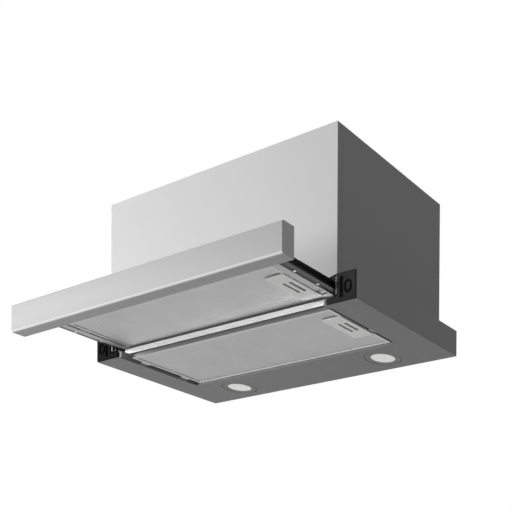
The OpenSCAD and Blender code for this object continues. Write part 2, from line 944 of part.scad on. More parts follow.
module capacitor() {
  cap_y = box_y - box_d / 2 - cap_r - seat_gap;
  color("#e4e4e4") translate([-box_x, cap_y, plate_low - cap_r - seat_gap]) {
    rod_x(cap_r, -cap_l / 2, cap_l / 2);
    for (s = [-1, 1]) translate([0, s * cap_r / 2, 0])
      rod_x(cap_pin_r, cap_l / 2, cap_l / 2 + cap_pin_l);
  }
}

module cable_gland() {
  nut_top = -sheet_t - box_t;
  color("#202020") translate([-box_x, box_y, body_top]) difference() {
    union() {
      rod_z(gland_r, nut_top - gland_nut_t, gland_top);
      rod_z(gland_nut_r, 0, gland_nut_t);
      rod_z(gland_nut_r, nut_top - gland_nut_t, nut_top);
    }
    rod_z(gland_bore_r, nut_top - gland_nut_t - over, gland_top + over);
  }
}

module lamp_bezels() {
  color("white") lamp_places() {
    ring_z(lens_r + seat_gap, bezel_r, bezel_face, dish_depth);
    ring_z(neck_r - neck_t, neck_r, dish_depth - over, dish_depth + neck_h);
  }
}

module lamp_lenses() {
  color("#f4f4f0") lamp_places() {
    rod_z(lens_r, lens_face, dish_depth + lens_t);
    rod_z(lens_flange_r, dish_depth, dish_depth + lens_t);
  }
}

module led_modules() {
  base_z = dish_depth + lens_t;
  color("#9a9a9a") lamp_places() {
    rod_z(lens_flange_r, base_z, base_z + module_h - module_fin_h);
    for (i = [1:4]) ring_z(i * module_fin_h, i * module_fin_h + sheet_t, base_z, base_z + module_h);
  }
}

module door_switch() {
  hole_y = switch_y + plunger_l;
  mid_z = switch_low + switch_h / 2;
  color("#202020") difference() {
    union() {
      translate([switch_x, switch_y, 0]) {
        block(-switch_foot / 2, switch_foot / 2, 0, switch_foot, sheet_t, sheet_t + bracket_plate);
        block(-switch_w / 2, switch_w / 2, switch_post, switch_d, sheet_t, switch_low + over);
        block(-switch_w / 2, switch_w / 2, 0, switch_d, switch_low, switch_low + switch_h);
      }
    }
    translate([switch_x, 0, mid_z]) rod_y(plunger_r + plunger_gap, switch_y - over, hole_y);
  }
}

module switch_plunger() {
  color("white") translate([switch_x, 0, switch_low + switch_h / 2])
    rod_y(plunger_r, tip_y, tip_y + plunger_l);
}

// Cassette border, drawn from the middle of its underside
module filter_frame() {
  tongue_cut = tongue_w + 2 * seat_gap;
  color("silver") difference() {
    union() {
      difference() {
        block(-filter_x, filter_x, -filter_y, filter_y, 0, filter_t);
        block(filter_sheet - filter_x, filter_x - filter_sheet, filter_sheet - filter_y,
          filter_y - filter_sheet, filter_sheet, filter_t - filter_sheet);
        block(filter_border - filter_x, filter_x - filter_border, filter_border - filter_y,
          filter_y - filter_border, -over, filter_t + over);
      }
      for (s = [-1, 1]) block(-catch_x, filter_sheet - filter_x, s * tab_y - tab_w / 2,
        s * tab_y + tab_w / 2, tab_lift, tab_lift + tab_t);
    }
    block(pocket_x0, filter_x - filter_sheet, pocket_y0 - pocket_wall - seat_gap,
      pocket_y1 + pocket_wall + seat_gap, -over, filter_sheet + over);
    block(pocket_x1, filter_x + over, tongue_y - tongue_cut / 2, tongue_y + tongue_cut / 2,
      -over, bolt_lift + bolt_t + seat_gap);
  }
}

module filter_mesh() {
  edge = filter_sheet + mesh_gap;
  color("#b8b8b8") difference() {
    block(edge - filter_x, filter_x - edge, edge - filter_y, filter_y - edge, edge, filter_t - edge);
    block(pocket_x0 - pocket_wall - seat_gap, filter_x, pocket_y0 - pocket_wall - seat_gap,
      pocket_y1 + pocket_wall + seat_gap, 0, filter_t);
  }
}

// Plate with a window, and the pocket that the bolt slides in
module latch() {
  half_w = latch_w / 2;
  half_l = latch_l / 2;
  cut = half_l - latch_corner;
  x1 = half_w - over;
  color("white") difference() {
    union() {
      translate([latch_x, latch_y, -latch_lip]) linear_extrude(latch_lip) polygon([
        [latch_corner - half_w, -half_l], [x1, -half_l], [x1, half_l],
        [latch_corner - half_w, half_l], [-half_w, cut], [-half_w, -cut]
      ]);
      block(pocket_x0 - pocket_wall, pocket_x1, pocket_y0 - pocket_wall,
        pocket_y1 + pocket_wall, -latch_lip, pocket_h + pocket_wall);
    }
    block(pocket_x0, pocket_x1 - pocket_wall, pocket_y0, pocket_y1, 0, pocket_h);
    block(pocket_x0, filter_x, tongue_y - tongue_w / 2 - seat_gap,
      tongue_y + tongue_w / 2 + seat_gap, 0, pocket_h);
    block(window_x0, window_x1, latch_y - grip_l / 2 - window_gap,
      latch_y + grip_l / 2 + window_gap, -latch_lip - over, over);
  }
}

// Sliding bolt with its tongue on the outside and the finger grip below
module latch_bolt() {
  color("#f0f0f0") {
    block(bolt_x0, bolt_x1 - pocket_wall, latch_y - grip_l / 2, tongue_y + tongue_w / 2,
      bolt_lift, bolt_lift + bolt_t);
    block(bolt_x0, catch_x, tongue_y - tongue_w / 2, tongue_y + tongue_w / 2,
      bolt_lift, bolt_lift + bolt_t);
    centred(grip_x, latch_y, bolt_lift - latch_lip / 2, [grip_w, grip_l, latch_lip]);
  }
}

module fixed_place() {
  translate([0, fixed_filter_y, fixed_z]) children();
}

module drawer_place() {
  pulled_out() translate([0, drawer_filter_y, drawer_filter_z]) children();
}

// Side view of the panel: square at the back, round at both front edges
module panel_outline(inset, end_y) {
  r = panel_r - inset;
  near_y = back_y - panel_t + panel_r;
  low_z = panel_lift + panel_r;
  high_z = panel_lift + panel_h - panel_r;
  translate([near_y - r, low_z]) square([end_y - near_y + r, high_z - low_z]);
  translate([near_y, low_z - r]) square([end_y - near_y, high_z - low_z + 2 * r]);
  for (z = [low_z, high_z]) translate([near_y, z]) circle(r);
}

module drawer_panel() {
  color("silver") pulled_out() difference() {
    along_x(-panel_x, panel_x) panel_outline(0, back_y);
    along_x(panel_sheet - panel_x, panel_x - panel_sheet) panel_outline(panel_sheet, back_y + over);
  }
}

module panel_liner() {
  low_z = panel_lift + panel_sheet + seat_gap;
  high_z = panel_lift + panel_h - panel_sheet - seat_gap;
  color("gray") pulled_out() difference() {
    union() {
      block(-panel_in_x, panel_in_x, back_y - sheet_t, back_y, low_z, high_z);
      block(-panel_in_x, panel_in_x, back_y - liner_flange, back_y, low_z, low_z + sheet_t);
      block(-panel_in_x, panel_in_x, back_y - liner_flange, back_y, high_z - sheet_t, high_z);
    }
    panel_screw_places() rod_y(thin_screw_r + screw_gap, back_y - 2 * sheet_t, back_y + over);
  }
}

module panel_screw_places() {
  for (share = rivet_shares) translate([share * drawer_x, 0, slide_z]) children();
}

module panel_screws() {
  seat_y = back_y + sheet_t;
  color("dimgray") pulled_out() panel_screw_places() {
    rod_y(thin_screw_r, back_y - liner_flange, seat_y);
    rod_y(thin_screw_r * head_share, seat_y, seat_y + head_h);
  }
}

module drawer_side() {
  start_y = back_y + sheet_t;
  color("gray") {
    block(drawer_x - sheet_t, drawer_x, start_y, drawer_end_y, drawer_z, cover_z);
    block(drawer_x - side_flange, drawer_x, start_y, drawer_end_y, drawer_z, drawer_z + sheet_t);
    block(drawer_x - top_flange, drawer_x, start_y, drawer_end_y, cover_z - sheet_t, cover_z);
  }
}

module drawer_side_left() {
  pulled_out() left() drawer_side();
}

// The right side has a notch that lets the drawn-back tongue through
module drawer_side_right() {
  flange_x = drawer_x - side_flange;
  tongue_mid = drawer_filter_y + tongue_y;
  notch = tongue_w / 2 + notch_gap;
  pulled_out() difference() {
    drawer_side();
    block(flange_x - over, flange_x + notch_w, tongue_mid - notch, tongue_mid + notch,
      drawer_z - over, drawer_z + sheet_t + over);
  }
}

module drawer_front_bar() {
  flange_x = drawer_x - side_flange - seat_gap;
  color("gray") pulled_out() difference() {
    union() {
      block(-drawer_x, drawer_x, back_y, back_y + sheet_t, drawer_z, cover_z);
      block(-flange_x, flange_x, back_y, back_y + front_bar_d - bar_gap, drawer_z, drawer_z + sheet_t);
    }
    panel_screw_places() rod_y(thin_screw_r + screw_gap, back_y - over, back_y + sheet_t + over);
  }
}

module drawer_rear_bar() {
  bar_x = drawer_x - sheet_t;
  low_z = drawer_z + sheet_t;
  color("gray") pulled_out() {
    block(-bar_x, bar_x, rear_bar_y, rear_bar_y + sheet_t, low_z, cover_z - sheet_t);
    block(-bar_x, bar_x, rear_bar_y, rear_bar_y + rear_bar_d, low_z, low_z + sheet_t);
  }
}

module drawer_cover() {
  plug_w = control_w - 2 * control_rim + 2 * seat_gap;
  plug_d = control_d - 2 * control_rim + 2 * seat_gap;
  color("gray") pulled_out() difference() {
    block(-drawer_x, drawer_x, back_y, cover_end_y, cover_z, cover_z + sheet_t);
    centred(control_x, control_y, cover_z, [plug_w, plug_d, 2 * sheet_t + 2 * over]);
  }
}

module control_bezel() {
  face_z = cover_z + sheet_t;
  plug_w = control_w - 2 * control_rim;
  plug_d = control_d - 2 * control_rim;
  cut_z = face_z + control_t / 2;
  cut_h = control_t + 2 * over;
  color("#202020") pulled_out() difference() {
    union() {
      centred(control_x, control_y, cut_z, [control_w, control_d, control_t]);
      centred(control_x, control_y, face_z - control_drop / 2 + over / 2,
        [plug_w, plug_d, control_drop + over]);
    }
    centred(control_x, control_y, face_z - control_drop / 2,
      [plug_w - 2 * control_wall, plug_d - 2 * control_wall, control_drop]);
    centred(control_x, control_y, face_z - control_drop,
      [plug_w - 2 * control_wall, plug_d - 2 * control_wall, 2 * over]);
    centred(speed_x, control_y, cut_z, [speed_travel + stem_w + 2 * over, slot_w, cut_h]);
    centred(lamp_switch_x, control_y, cut_z, [lamp_travel + stem_w + 2 * over, slot_w, cut_h]);
  }
}

// A slider at one end of its slot: ribbed knob, stem and foot
module slider(x) {
  face_z = cover_z + sheet_t;
  knob_z = face_z + control_t + seat_gap;
  stem_d = slot_w - 2 * seat_gap;
  foot_z = face_z - seat_gap - foot_h;
  color("white") pulled_out() difference() {
    union() {
      centred(x, control_y, knob_z + knob_h / 2, [knob_w, knob_d, knob_h]);
      centred(x, control_y, (foot_z + knob_z + over) / 2, [stem_w, stem_d, knob_z + over - foot_z]);
      centred(x, control_y, foot_z + foot_h / 2, [foot_w, foot_w, foot_h]);
    }
    for (s = [-1, 0, 1]) centred(x + s * knob_w / 4, control_y, knob_z + knob_h,
      [knob_groove, knob_d + over, knob_groove]);
  }
}

lower_frame();
body_shell();
front_cover();
top_plate();
front_rail();
left() end_cap();  // end_cap_left
end_cap();  // end_cap_right
left() slide_outer();  // slide_outer_left
slide_outer();  // slide_outer_right
duct_collar();
flap_pin();
left() volute();  // volute_left
volute();  // volute_right
motor_housing();
motor_bearings();
motor_bracket();
motor_bushes();
capacitor();
control_box();
control_lid();
control_board();
cable_gland();
lamp_bezels();
lamp_lenses();
led_modules();
door_switch();
duct_screws();
top_screws();
rear_rivets();
fixed_place() filter_frame();  // fixed_filter_frame
fixed_place() filter_mesh();  // fixed_filter_mesh
fixed_place() latch();  // fixed_latch
fixed_place() latch_bolt();  // fixed_latch_bolt
switch_plunger();
impeller();
motor_shaft();
flap_rear();
flap_front();
left() ball_cage();  // ball_cage_left
ball_cage();  // ball_cage_right
drawer_panel();
panel_liner();
drawer_side_left();
drawer_side_right();
drawer_front_bar();
drawer_rear_bar();
drawer_cover();
left() slide_inner();  // slide_inner_left
slide_inner();  // slide_inner_right
slide_rivets();
slide_brackets();
drawer_place() filter_frame();  // drawer_filter_frame
drawer_place() filter_mesh();  // drawer_filter_mesh
drawer_place() latch();  // drawer_latch
drawer_place() latch_bolt();  // drawer_latch_bolt
control_bezel();
slider(speed_x - speed_travel / 2);  // speed_slider
slider(lamp_switch_x - lamp_travel / 2);  // lamp_slider
panel_screws();
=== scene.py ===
"""Dressed model of a pull-out range hood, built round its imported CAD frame.

The hood hangs at its real size with the drawer pulled out. Every sub-assembly is
a class that makes its own pieces and gives them their finishes. Lengths are in
millimetres until a mesh is made, and Blender's own unit is the metre.
"""

from __future__ import annotations
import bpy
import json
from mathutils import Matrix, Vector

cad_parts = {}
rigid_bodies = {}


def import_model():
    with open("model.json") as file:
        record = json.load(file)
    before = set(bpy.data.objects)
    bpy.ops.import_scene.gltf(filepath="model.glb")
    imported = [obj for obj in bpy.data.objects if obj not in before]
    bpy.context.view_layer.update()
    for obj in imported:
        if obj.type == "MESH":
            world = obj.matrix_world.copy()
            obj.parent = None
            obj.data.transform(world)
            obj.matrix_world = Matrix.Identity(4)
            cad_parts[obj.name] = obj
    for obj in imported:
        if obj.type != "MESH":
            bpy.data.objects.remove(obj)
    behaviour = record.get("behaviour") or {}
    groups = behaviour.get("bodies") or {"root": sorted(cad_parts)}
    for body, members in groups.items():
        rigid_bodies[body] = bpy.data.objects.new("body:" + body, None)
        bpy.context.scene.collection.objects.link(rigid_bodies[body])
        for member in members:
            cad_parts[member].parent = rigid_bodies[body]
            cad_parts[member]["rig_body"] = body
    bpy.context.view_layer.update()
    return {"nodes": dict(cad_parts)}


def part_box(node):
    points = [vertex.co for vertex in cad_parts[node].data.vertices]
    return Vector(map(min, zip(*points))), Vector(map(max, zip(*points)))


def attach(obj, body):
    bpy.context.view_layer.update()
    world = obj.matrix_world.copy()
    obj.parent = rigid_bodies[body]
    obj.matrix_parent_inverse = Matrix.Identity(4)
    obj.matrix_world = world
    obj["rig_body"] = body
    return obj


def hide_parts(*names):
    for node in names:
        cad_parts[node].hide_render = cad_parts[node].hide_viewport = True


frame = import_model()

import json
import logging
import math
from abc import ABC, abstractmethod
from collections.abc import Callable
from dataclasses import dataclass, field
from enum import Enum

import bmesh
import bpy
import numpy as np
from mathutils import Matrix, Vector

log = logging.getLogger("range_hood")

MM = 0.001
WELD_MM = 0.0008
FLAT_DEG = 0.4
SMOOTH_DEG = 35.0
Colour = tuple[float, float, float]


def grey(level: float) -> Colour:
    """The neutral colour of one level."""
    return level, level, level


class Axis(Enum):
    """A main direction of the hood."""

    X = 0
    Y = 1
    Z = 2


class Slot(Enum):
    """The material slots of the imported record."""

    PAINTED_SHEET = "painted_sheet"
    STEEL_PANEL = "steel_panel"
    ZINC_SHEET = "zinc_sheet"
    RAIL_STEEL = "rail_steel"
    SLIDE_STEEL = "slide_steel"
    BRIGHT_STEEL = "bright_steel"
    BLACK_PLASTIC = "black_plastic"
    GREY_PLASTIC = "grey_plastic"
    WHITE_PLASTIC = "white_plastic"
    FILTER_ALUMINIUM = "filter_aluminium"
    LAMP_DIFFUSER = "lamp_diffuser"
    ALUMINIUM_CAST = "aluminium_cast"
    MOTOR_PAINT = "motor_paint"
    BRASS_CAGE = "brass_cage"
    BUSH_RUBBER = "bush_rubber"
    BOARD = "board"


def operator(operation: str, swapped: bool = False) -> Callable[["Signal", "Value"], "Signal"]:
    """The method that stands behind one arithmetic operator.

    Args:
        operation: Name of the Math node's operation.
        swapped: True where the signal is the second operand.

    Returns:
        The method.
    """
    def apply(self: "Signal", other: "Value") -> "Signal":
        """Adds the Math node for the two operands."""
        return self._math(operation, *((other, self) if swapped else (self, other)))

    return apply


class Signal:
    """A shader socket that takes part in plain arithmetic."""

    def __init__(self, tree: "ShaderTree", socket: bpy.types.NodeSocket) -> None:
        """Keeps the socket and the tree that new Math nodes go into.

        Args:
            tree: The shader tree that owns the socket.
            socket: An output socket that carries a value.
        """
        self.tree = tree
        self.socket = socket

    def _math(self, operation: str, first: "Value", second: "Value") -> "Signal":
        """Adds one Math node.

        Args:
            operation: Name of the Math node's operation.
            first: First operand.
            second: Second operand.

        Returns:
            The node's result.
        """
        node = self.tree.node("ShaderNodeMath", {"operation": operation}, {0: first, 1: second})
        return Signal(self.tree, node.outputs[0])

    __add__, __radd__ = operator("ADD"), operator("ADD", swapped=True)
    __sub__, __rsub__ = operator("SUBTRACT"), operator("SUBTRACT", swapped=True)
    __mul__, __pow__ = operator("MULTIPLY"), operator("POWER")

    def cosine(self) -> "Signal":
        """Cosine of the signal, in radians."""
        return self._math("COSINE", self, 0.0)

    def size(self) -> "Signal":
        """The signal without its sign."""
        return self._math("ABSOLUTE", self, 0.0)

    def at_least(self, other: "Value") -> "Signal":
        """The larger of the two."""
        return self._math("MAXIMUM", self, other)


Value = Signal | float | Colour


class ShaderTree:
    """Builds one material's node tree."""

    def __init__(self, owner: bpy.types.Material | bpy.types.World) -> None:
        """Starts an empty tree.

        Args:
            owner: The material or the world that the tree belongs to.
        """
        owner.use_nodes = True
        self.owner = owner
        self.tree = owner.node_tree
        self.tree.nodes.clear()

    @classmethod
    def named(cls, name: str) -> "ShaderTree":
        """The empty tree of a new material."""
        return cls(bpy.data.materials.new(name))

    def node(self, kind: str, settings: dict[str, object],
             inputs: dict[str | int, Value]) -> bpy.types.Node:
        """Adds a node, sets it up and then fills its sockets.

        Args:
            kind: Blender's name of the node's type.
            settings: Properties of the node, set first.
            inputs: Values or signals by the socket's name or number.

        Returns:
            The new node.
        """
        made = self.tree.nodes.new(kind)
        for name, setting in settings.items():
            setattr(made, name, setting)
        for key, value in inputs.items():
            if isinstance(value, Signal):
                self.tree.links.new(value.socket, made.inputs[key])
            elif isinstance(value, tuple) and made.inputs[key].type == "RGBA":
                made.inputs[key].default_value = (*value, 1.0)
            else:
                made.inputs[key].default_value = value
        return made

    def place(self, scale: Colour = (1.0, 1.0, 1.0)) -> Signal:
        """The point on the piece in metres, stretched along each axis.

        Args:
            scale: Factor on each axis.

        Returns:
            The stretched point.
        """
        point = self.node("ShaderNodeTexCoord", {}, {}).outputs["Object"]
        mapping = self.node("ShaderNodeMapping", {}, {"Vector": Signal(self, point), "Scale": scale})
        return Signal(self, mapping.outputs["Vector"])

    def part_of(self, vector: Signal, axis: Axis) -> Signal:
        """One component of a point.

        Args:
            vector: The point.
            axis: The component's axis.

        Returns:
            The component.
        """
        node = self.node("ShaderNodeSeparateXYZ", {}, {"Vector": vector})
        return Signal(self, node.outputs[axis.value])

    def past(self, along: Signal, start_mm: float, slope_mm: float) -> Signal:
        """How far a coordinate has gone past a limit.

        Args:
            along: The coordinate in metres.
            start_mm: Where zero lies.
            slope_mm: Length over which it grows to one.

        Returns:
            The share, below zero before the limit and above one past the slope.
        """
        return (along - start_mm * MM) * (1 / (slope_mm * MM))

    def noise(self, at: Signal, scale: float, detail: float = 2.0, roughness: float = 0.5) -> Signal:
        """Smooth noise between zero and one.

        Args:
            at: The point.
            scale: Number of blots to the metre.
            detail: Octaves that are added.
            roughness: Share of each further octave.

        Returns:
            The noise.
        """
        inputs = {"Vector": at, "Scale": scale, "Detail": detail, "Roughness": roughness}
        node = self.node("ShaderNodeTexNoise", {"noise_dimensions": "3D"}, inputs)
        return Signal(self, node.outputs["Fac"])

    def cells(self, at: Signal, scale: float) -> Signal:
        """Distance from the nearest of many scattered points.

        Args:
            at: The point.
            scale: Number of cells to the metre.

        Returns:
            The distance, about zero to one.
        """
        inputs = {"Vector": at, "Scale": scale}
        node = self.node("ShaderNodeTexVoronoi", {"feature": "F1"}, inputs)
        return Signal(self, node.outputs["Distance"])

    def between(self, share: Value, low: Value, high: Value) -> Signal:
        """Mixes two colours.

        Args:
            share: Zero for the first colour and one for the second.
            low: First colour.
            high: Second colour.

        Returns:
            The mixed colour.
        """
        inputs = {0: share, 6: low, 7: high}
        node = self.node("ShaderNodeMix", {"data_type": "RGBA", "clamp_factor": True}, inputs)
        return Signal(self, node.outputs[2])

    def bumps(self, height: Signal, depth_mm: float) -> Signal:
        """Turns a height into a surface direction.

        Args:
            height: Height between zero and one.
            depth_mm: Real depth of a height of one.

        Returns:
            The surface direction.
        """
        inputs = {"Height": height, "Distance": depth_mm * MM, "Strength": 1.0}
        return Signal(self, self.node("ShaderNodeBump", {}, inputs).outputs["Normal"])

    def surface(self, inputs: dict[str | int, Value]) -> bpy.types.Material:
        """Closes the tree with one main shader.

        Args:
            inputs: Values or signals of the shader's sockets.

        Returns:
            The finished material.
        """
        shader = self.node("ShaderNodeBsdfPrincipled", {}, inputs)
        self.node("ShaderNodeOutputMaterial", {}, {"Surface": Signal(self, shader.outputs[0])})
        return self.owner


def shade(colour: Colour, factor: float) -> Colour:
    """The colour made lighter or darker by a factor."""
    return tuple(min(1.0, part * factor) for part in colour)


class Finish(ABC):
    """How one kind of surface looks."""

    @abstractmethod
    def dress(self, name: str) -> bpy.types.Material:
        """Makes the material.

        Args:
            name: The material's name.

        Returns:
            The material.
        """


@dataclass(frozen=True)
class StovedPaint(Finish):
    """Silver-grey paint, baked on sheet, with a fine orange peel."""

    colour: Colour = grey(0.32)
    roughness: float = 0.46
    gloss: float = 0.08
    peel_per_m: float = 900.0
    peel_mm: float = 0.012
    fleck_per_m: float = 5200.0

    def tint(self, tree: ShaderTree, at: Signal) -> Signal:
        """The base colour, with clouds and fine metal flecks."""
        tone = tree.noise(at, 5.0, 3.0) * 0.7 + tree.noise(at, self.fleck_per_m, 0.0) * 0.3
        return tree.between(tone, shade(self.colour, 0.955), shade(self.colour, 1.035))

    def dress(self, name: str) -> bpy.types.Material:
        """Flecked base, uneven gloss and a shallow orange peel.

        Args:
            name: The material's name.

        Returns:
            The material.
        """
        tree = ShaderTree.named(name)
        at = tree.place()
        peel = tree.noise(at, self.peel_per_m, 2.0, 0.4)
        wear = tree.noise(at, 38.0, 4.0, 0.6)
        return tree.surface({
            "Base Color": self.tint(tree, at),
            "Roughness": self.roughness - 0.04 + wear * 0.08,
            "Specular IOR Level": self.gloss,
            "Normal": tree.bumps(peel, self.peel_mm),
        })


@dataclass(frozen=True)
class LitFacePaint(StovedPaint):
    """Paint with painted light: the sheet's face is painted lighter than its narrow returns of the same
    paint.
    """

    turned: Colour = grey(0.32)
    half_mm: float = 259.0
    slope_mm: float = 0.3

    def tint(self, tree: ShaderTree, at: Signal) -> Signal:
        """The face's colour, painted lighter for the light that falls on it, and the returns' colour
        past half the face's width.
        """
        past = tree.past(tree.part_of(at, Axis.X).size(), self.half_mm, self.slope_mm)
        return tree.between(past, super().tint(tree, at), self.turned)


@dataclass(frozen=True)
class BrushedMetal(Finish):
    """Rolled or brushed metal whose fine lines run along one axis."""

    colour: Colour = grey(0.62)
    roughness: float = 0.36
    metallic: float = 0.45
    gloss: float = 0.5
    along: Axis = Axis.X
    line_per_m: float = 2600.0
    line_mm: float = 0.006
    contrast: float = 0.05
    stretch: float = 0.012
    lines_to_band: float = 14

    def tint(self, tree: ShaderTree, tone: Signal) -> Signal:
        """The base colour, by how light the line is between zero and one."""
        low, high = (shade(self.colour, 1 + side * self.contrast) for side in (-1, 1))
        return tree.between(tone, low, high)

    def dress(self, name: str) -> bpy.types.Material:
        """Long thin lines in the colour, the gloss and the relief.

        Args:
            name: The material's name.

        Returns:
            The material.
        """
        tree = ShaderTree.named(name)
        squeeze = [1.0, 1.0, 1.0]
        squeeze[self.along.value] = self.stretch
        at = tree.place(tuple(squeeze))
        line = tree.noise(at, self.line_per_m, 3.0, 0.6)
        band = tree.noise(at, self.line_per_m / self.lines_to_band, 2.0)
        cloud = tree.noise(tree.place(), 6.0, 2.0)
        tone = line * 0.5 + band * 0.25 + cloud * 0.25
        return tree.surface({
            "Base Color": self.tint(tree, tone),
            "Metallic": self.metallic,
            "Specular IOR Level": self.gloss,
            "Roughness": self.roughness - 0.06 + band * 0.12,
            "Normal": tree.bumps(line, self.line_mm),
        })


@dataclass(frozen=True)
class FoldHighlightSteel(BrushedMetal):
    """Brushed steel with a painted highlight along its lower front fold."""

    # colour of the painted highlight on the lower front fold
    bright: Colour = grey(0.85)
    front_mm: float = 0.0
    low_mm: float = 0.0
    radius_mm: float = 3.0

    def tint(self, tree: ShaderTree, tone: Signal) -> Signal:
        """The brushed colour, with a painted highlight on the fold.

        The depth behind the front and the height above the underside add up to
        the radius at both ends of the fold, and to less than it in between.

        Args:
            tree: The shader tree.
            tone: How light the line is, between zero and one.

        Returns:
            The colour.
        """
        at = tree.place()
        corner = (self.front_mm + self.low_mm + self.radius_mm) * MM
        inside = corner - tree.part_of(at, Axis.Y) - tree.part_of(at, Axis.Z)
        share = inside * (1 / (self.radius_mm * MM * (math.sqrt(2) - 1)))
        return tree.between(share, super().tint(tree, tone), self.bright)


@dataclass(frozen=True)
class CassetteBorder(BrushedMetal):
    """Rolled aluminium with painted shade on its front face and a painted highlight on its rear hem."""

    front_shade: Colour = grey(0.2)
    rear_highlight: Colour = grey(0.98)
    front_mm: float = 0.0
    rear_mm: float = 0.0
    slope_mm: float = 0.6

    def tint(self, tree: ShaderTree, tone: Signal) -> Signal:
        """The rolled colour, with painted shade on the front face and a painted highlight on the rear
        hem.

        Args:
            tree: The shader tree.
            tone: How light the line is, between zero and one.

        Returns:
            The colour.
        """
        depth = tree.part_of(tree.place(), Axis.Y)
        front = tree.past(depth, self.front_mm, self.slope_mm)
        rear = tree.past(depth, self.rear_mm, self.slope_mm)
        return tree.between(rear, tree.between(front, self.front_shade, super().tint(tree, tone)), self.rear_highlight)


@dataclass(frozen=True)
class ZincedSheet(Finish):
    """Galvanised sheet with a faint spangle."""

    colour: Colour = grey(0.50)
    roughness: float = 0.42
    metallic: float = 0.35
    spangle_per_m: float = 140.0

    def dress(self, name: str) -> bpy.types.Material:
        """Spangle cells in the colour and the gloss, and light roller marks.

        Args:
            name: The material's name.

        Returns:
            The material.
        """
        tree = ShaderTree.named(name)
        at = tree.place()
        spangle = tree.cells(at, self.spangle_per_m)
        grain = tree.noise(at, 900.0, 3.0)
        tone = spangle * 0.6 + grain * 0.4
        return tree.surface({
            "Base Color": tree.between(tone, shade(self.colour, 0.93), shade(self.colour, 1.06)),
            "Metallic": self.metallic,
            "Roughness": self.roughness - 0.05 + spangle * 0.12,
            "Normal": tree.bumps(grain, 0.006),
        })


@dataclass(frozen=True)
class PolishedSteel(Finish):
    """Turned or plated steel of screws, rivets and shafts."""

    colour: Colour = (0.64, 0.64, 0.65)
    roughness: float = 0.24

    def dress(self, name: str) -> bpy.types.Material:
        """Fine turning marks and small stains in the gloss.

        Args:
            name: The material's name.

        Returns:
            The material.
        """
        tree = ShaderTree.named(name)
        at = tree.place()
        stain = tree.noise(at, 260.0, 4.0, 0.6)
        mark = tree.noise(at, 2400.0, 1.0)
        return tree.surface({
            "Base Color": tree.between(stain, shade(self.colour, 0.9), shade(self.colour, 1.08)),
            "Metallic": 0.9,
            "Roughness": self.roughness - 0.05 + stain * 0.14,
            "Normal": tree.bumps(mark, 0.004),
        })


@dataclass(frozen=True)
class MouldedPlastic(Finish):
    """Injection-moulded plastic with a fine spark-eroded grain."""

    colour: Colour = grey(0.05)
    roughness: float = 0.5
    gloss: float = 0.35
    grain_per_m: float = 1500.0
    grain_mm: float = 0.02

    def tint(self, tree: ShaderTree, at: Signal) -> Signal:
        """The base colour, with flow marks."""
        flow = tree.noise(at, 22.0, 2.0)
        return tree.between(flow, shade(self.colour, 0.95), shade(self.colour, 1.05))

    def dress(self, name: str) -> bpy.types.Material:
        """Pitted grain, and flow marks that vary the colour a little.

        Args:
            name: The material's name.

        Returns:
            The material.
        """
        tree = ShaderTree.named(name)
        at = tree.place()
        grain = tree.noise(at, self.grain_per_m, 2.0, 0.6)
        return tree.surface({
            "Base Color": self.tint(tree, at),
            "Roughness": self.roughness - 0.05 + grain * 0.1,
            "Specular IOR Level": self.gloss,
            "Normal": tree.bumps(grain, self.grain_mm),
        })


@dataclass(frozen=True)
class RecessShadePlastic(MouldedPlastic):
    """Moulded plastic with painted shade where it lies deeper than its outer face."""

    recess_shade: Colour = grey(0.01)
    axis: Axis = Axis.Z
    face_mm: float = 0.0
    slope_mm: float = 0.5

    def tint(self, tree: ShaderTree, at: Signal) -> Signal:
        """The outer colour, and the painted shade of the recess past the outer face."""
        depth = tree.past(tree.part_of(at, self.axis), self.face_mm, self.slope_mm)
        return tree.between(depth, super().tint(tree, at), self.deep(tree, at))

    def deep(self, tree: ShaderTree, at: Signal) -> Value:
        """The painted shade colour past the outer face."""
        return self.recess_shade


@dataclass(frozen=True)
class LatchPlastic(RecessShadePlastic):
    """White plastic with painted shade in its recess: painted light before the grip and painted shadow
    past it.
    """

    # painted light in the recess before the grip
    lit: Colour = grey(0.5)
    grip_mm: float = 0.0

    def deep(self, tree: ShaderTree, at: Signal) -> Value:
        """The painted light before the grip and the painted shadow past it."""
        side = tree.past(tree.part_of(at, Axis.X), self.grip_mm, self.slope_mm)
        return tree.between(side, self.lit, self.recess_shade)


@dataclass(frozen=True)
class MeshPack(Finish):
    """Layers of expanded aluminium behind each other."""

    colour: Colour
    long_way_mm: float
    short_way_mm: float
    layer_ratio: float = 2.3

    def dress(self, name: str) -> bpy.types.Material:
        """Bright strands over darker openings that show a finer second layer.

        The strands follow the two families of slanting lines
        x / long + y / short and x / long - y / short, as the mesh itself does.

        Args:
            name: The material's name.

        Returns:
            The material.
        """
        tree = ShaderTree.named(name)
        at = tree.place()
        along = tree.part_of(at, Axis.X) * (math.pi / (self.long_way_mm * MM))
        across = tree.part_of(at, Axis.Y) * (math.pi / (self.short_way_mm * MM))
        strand = (along + across).cosine().size().at_least((along - across).cosine().size())
        fine_along, fine_across = along * self.layer_ratio, across * self.layer_ratio
        first, second = fine_along + fine_across, fine_along - fine_across
        under = first.cosine().size() * second.cosine().size()
        cloud = tree.noise(at, 14.0, 3.0)
        tone = strand**5.0 * 0.3 + under * 0.2 + cloud * 0.5
        return tree.surface({
            "Base Color": tree.between(tone, shade(self.colour, 0.78), shade(self.colour, 1.16)),
            "Metallic": 0.6,
            "Roughness": 0.52 - tone * 0.12,
            "Normal": tree.bumps(under, 0.12),
        })


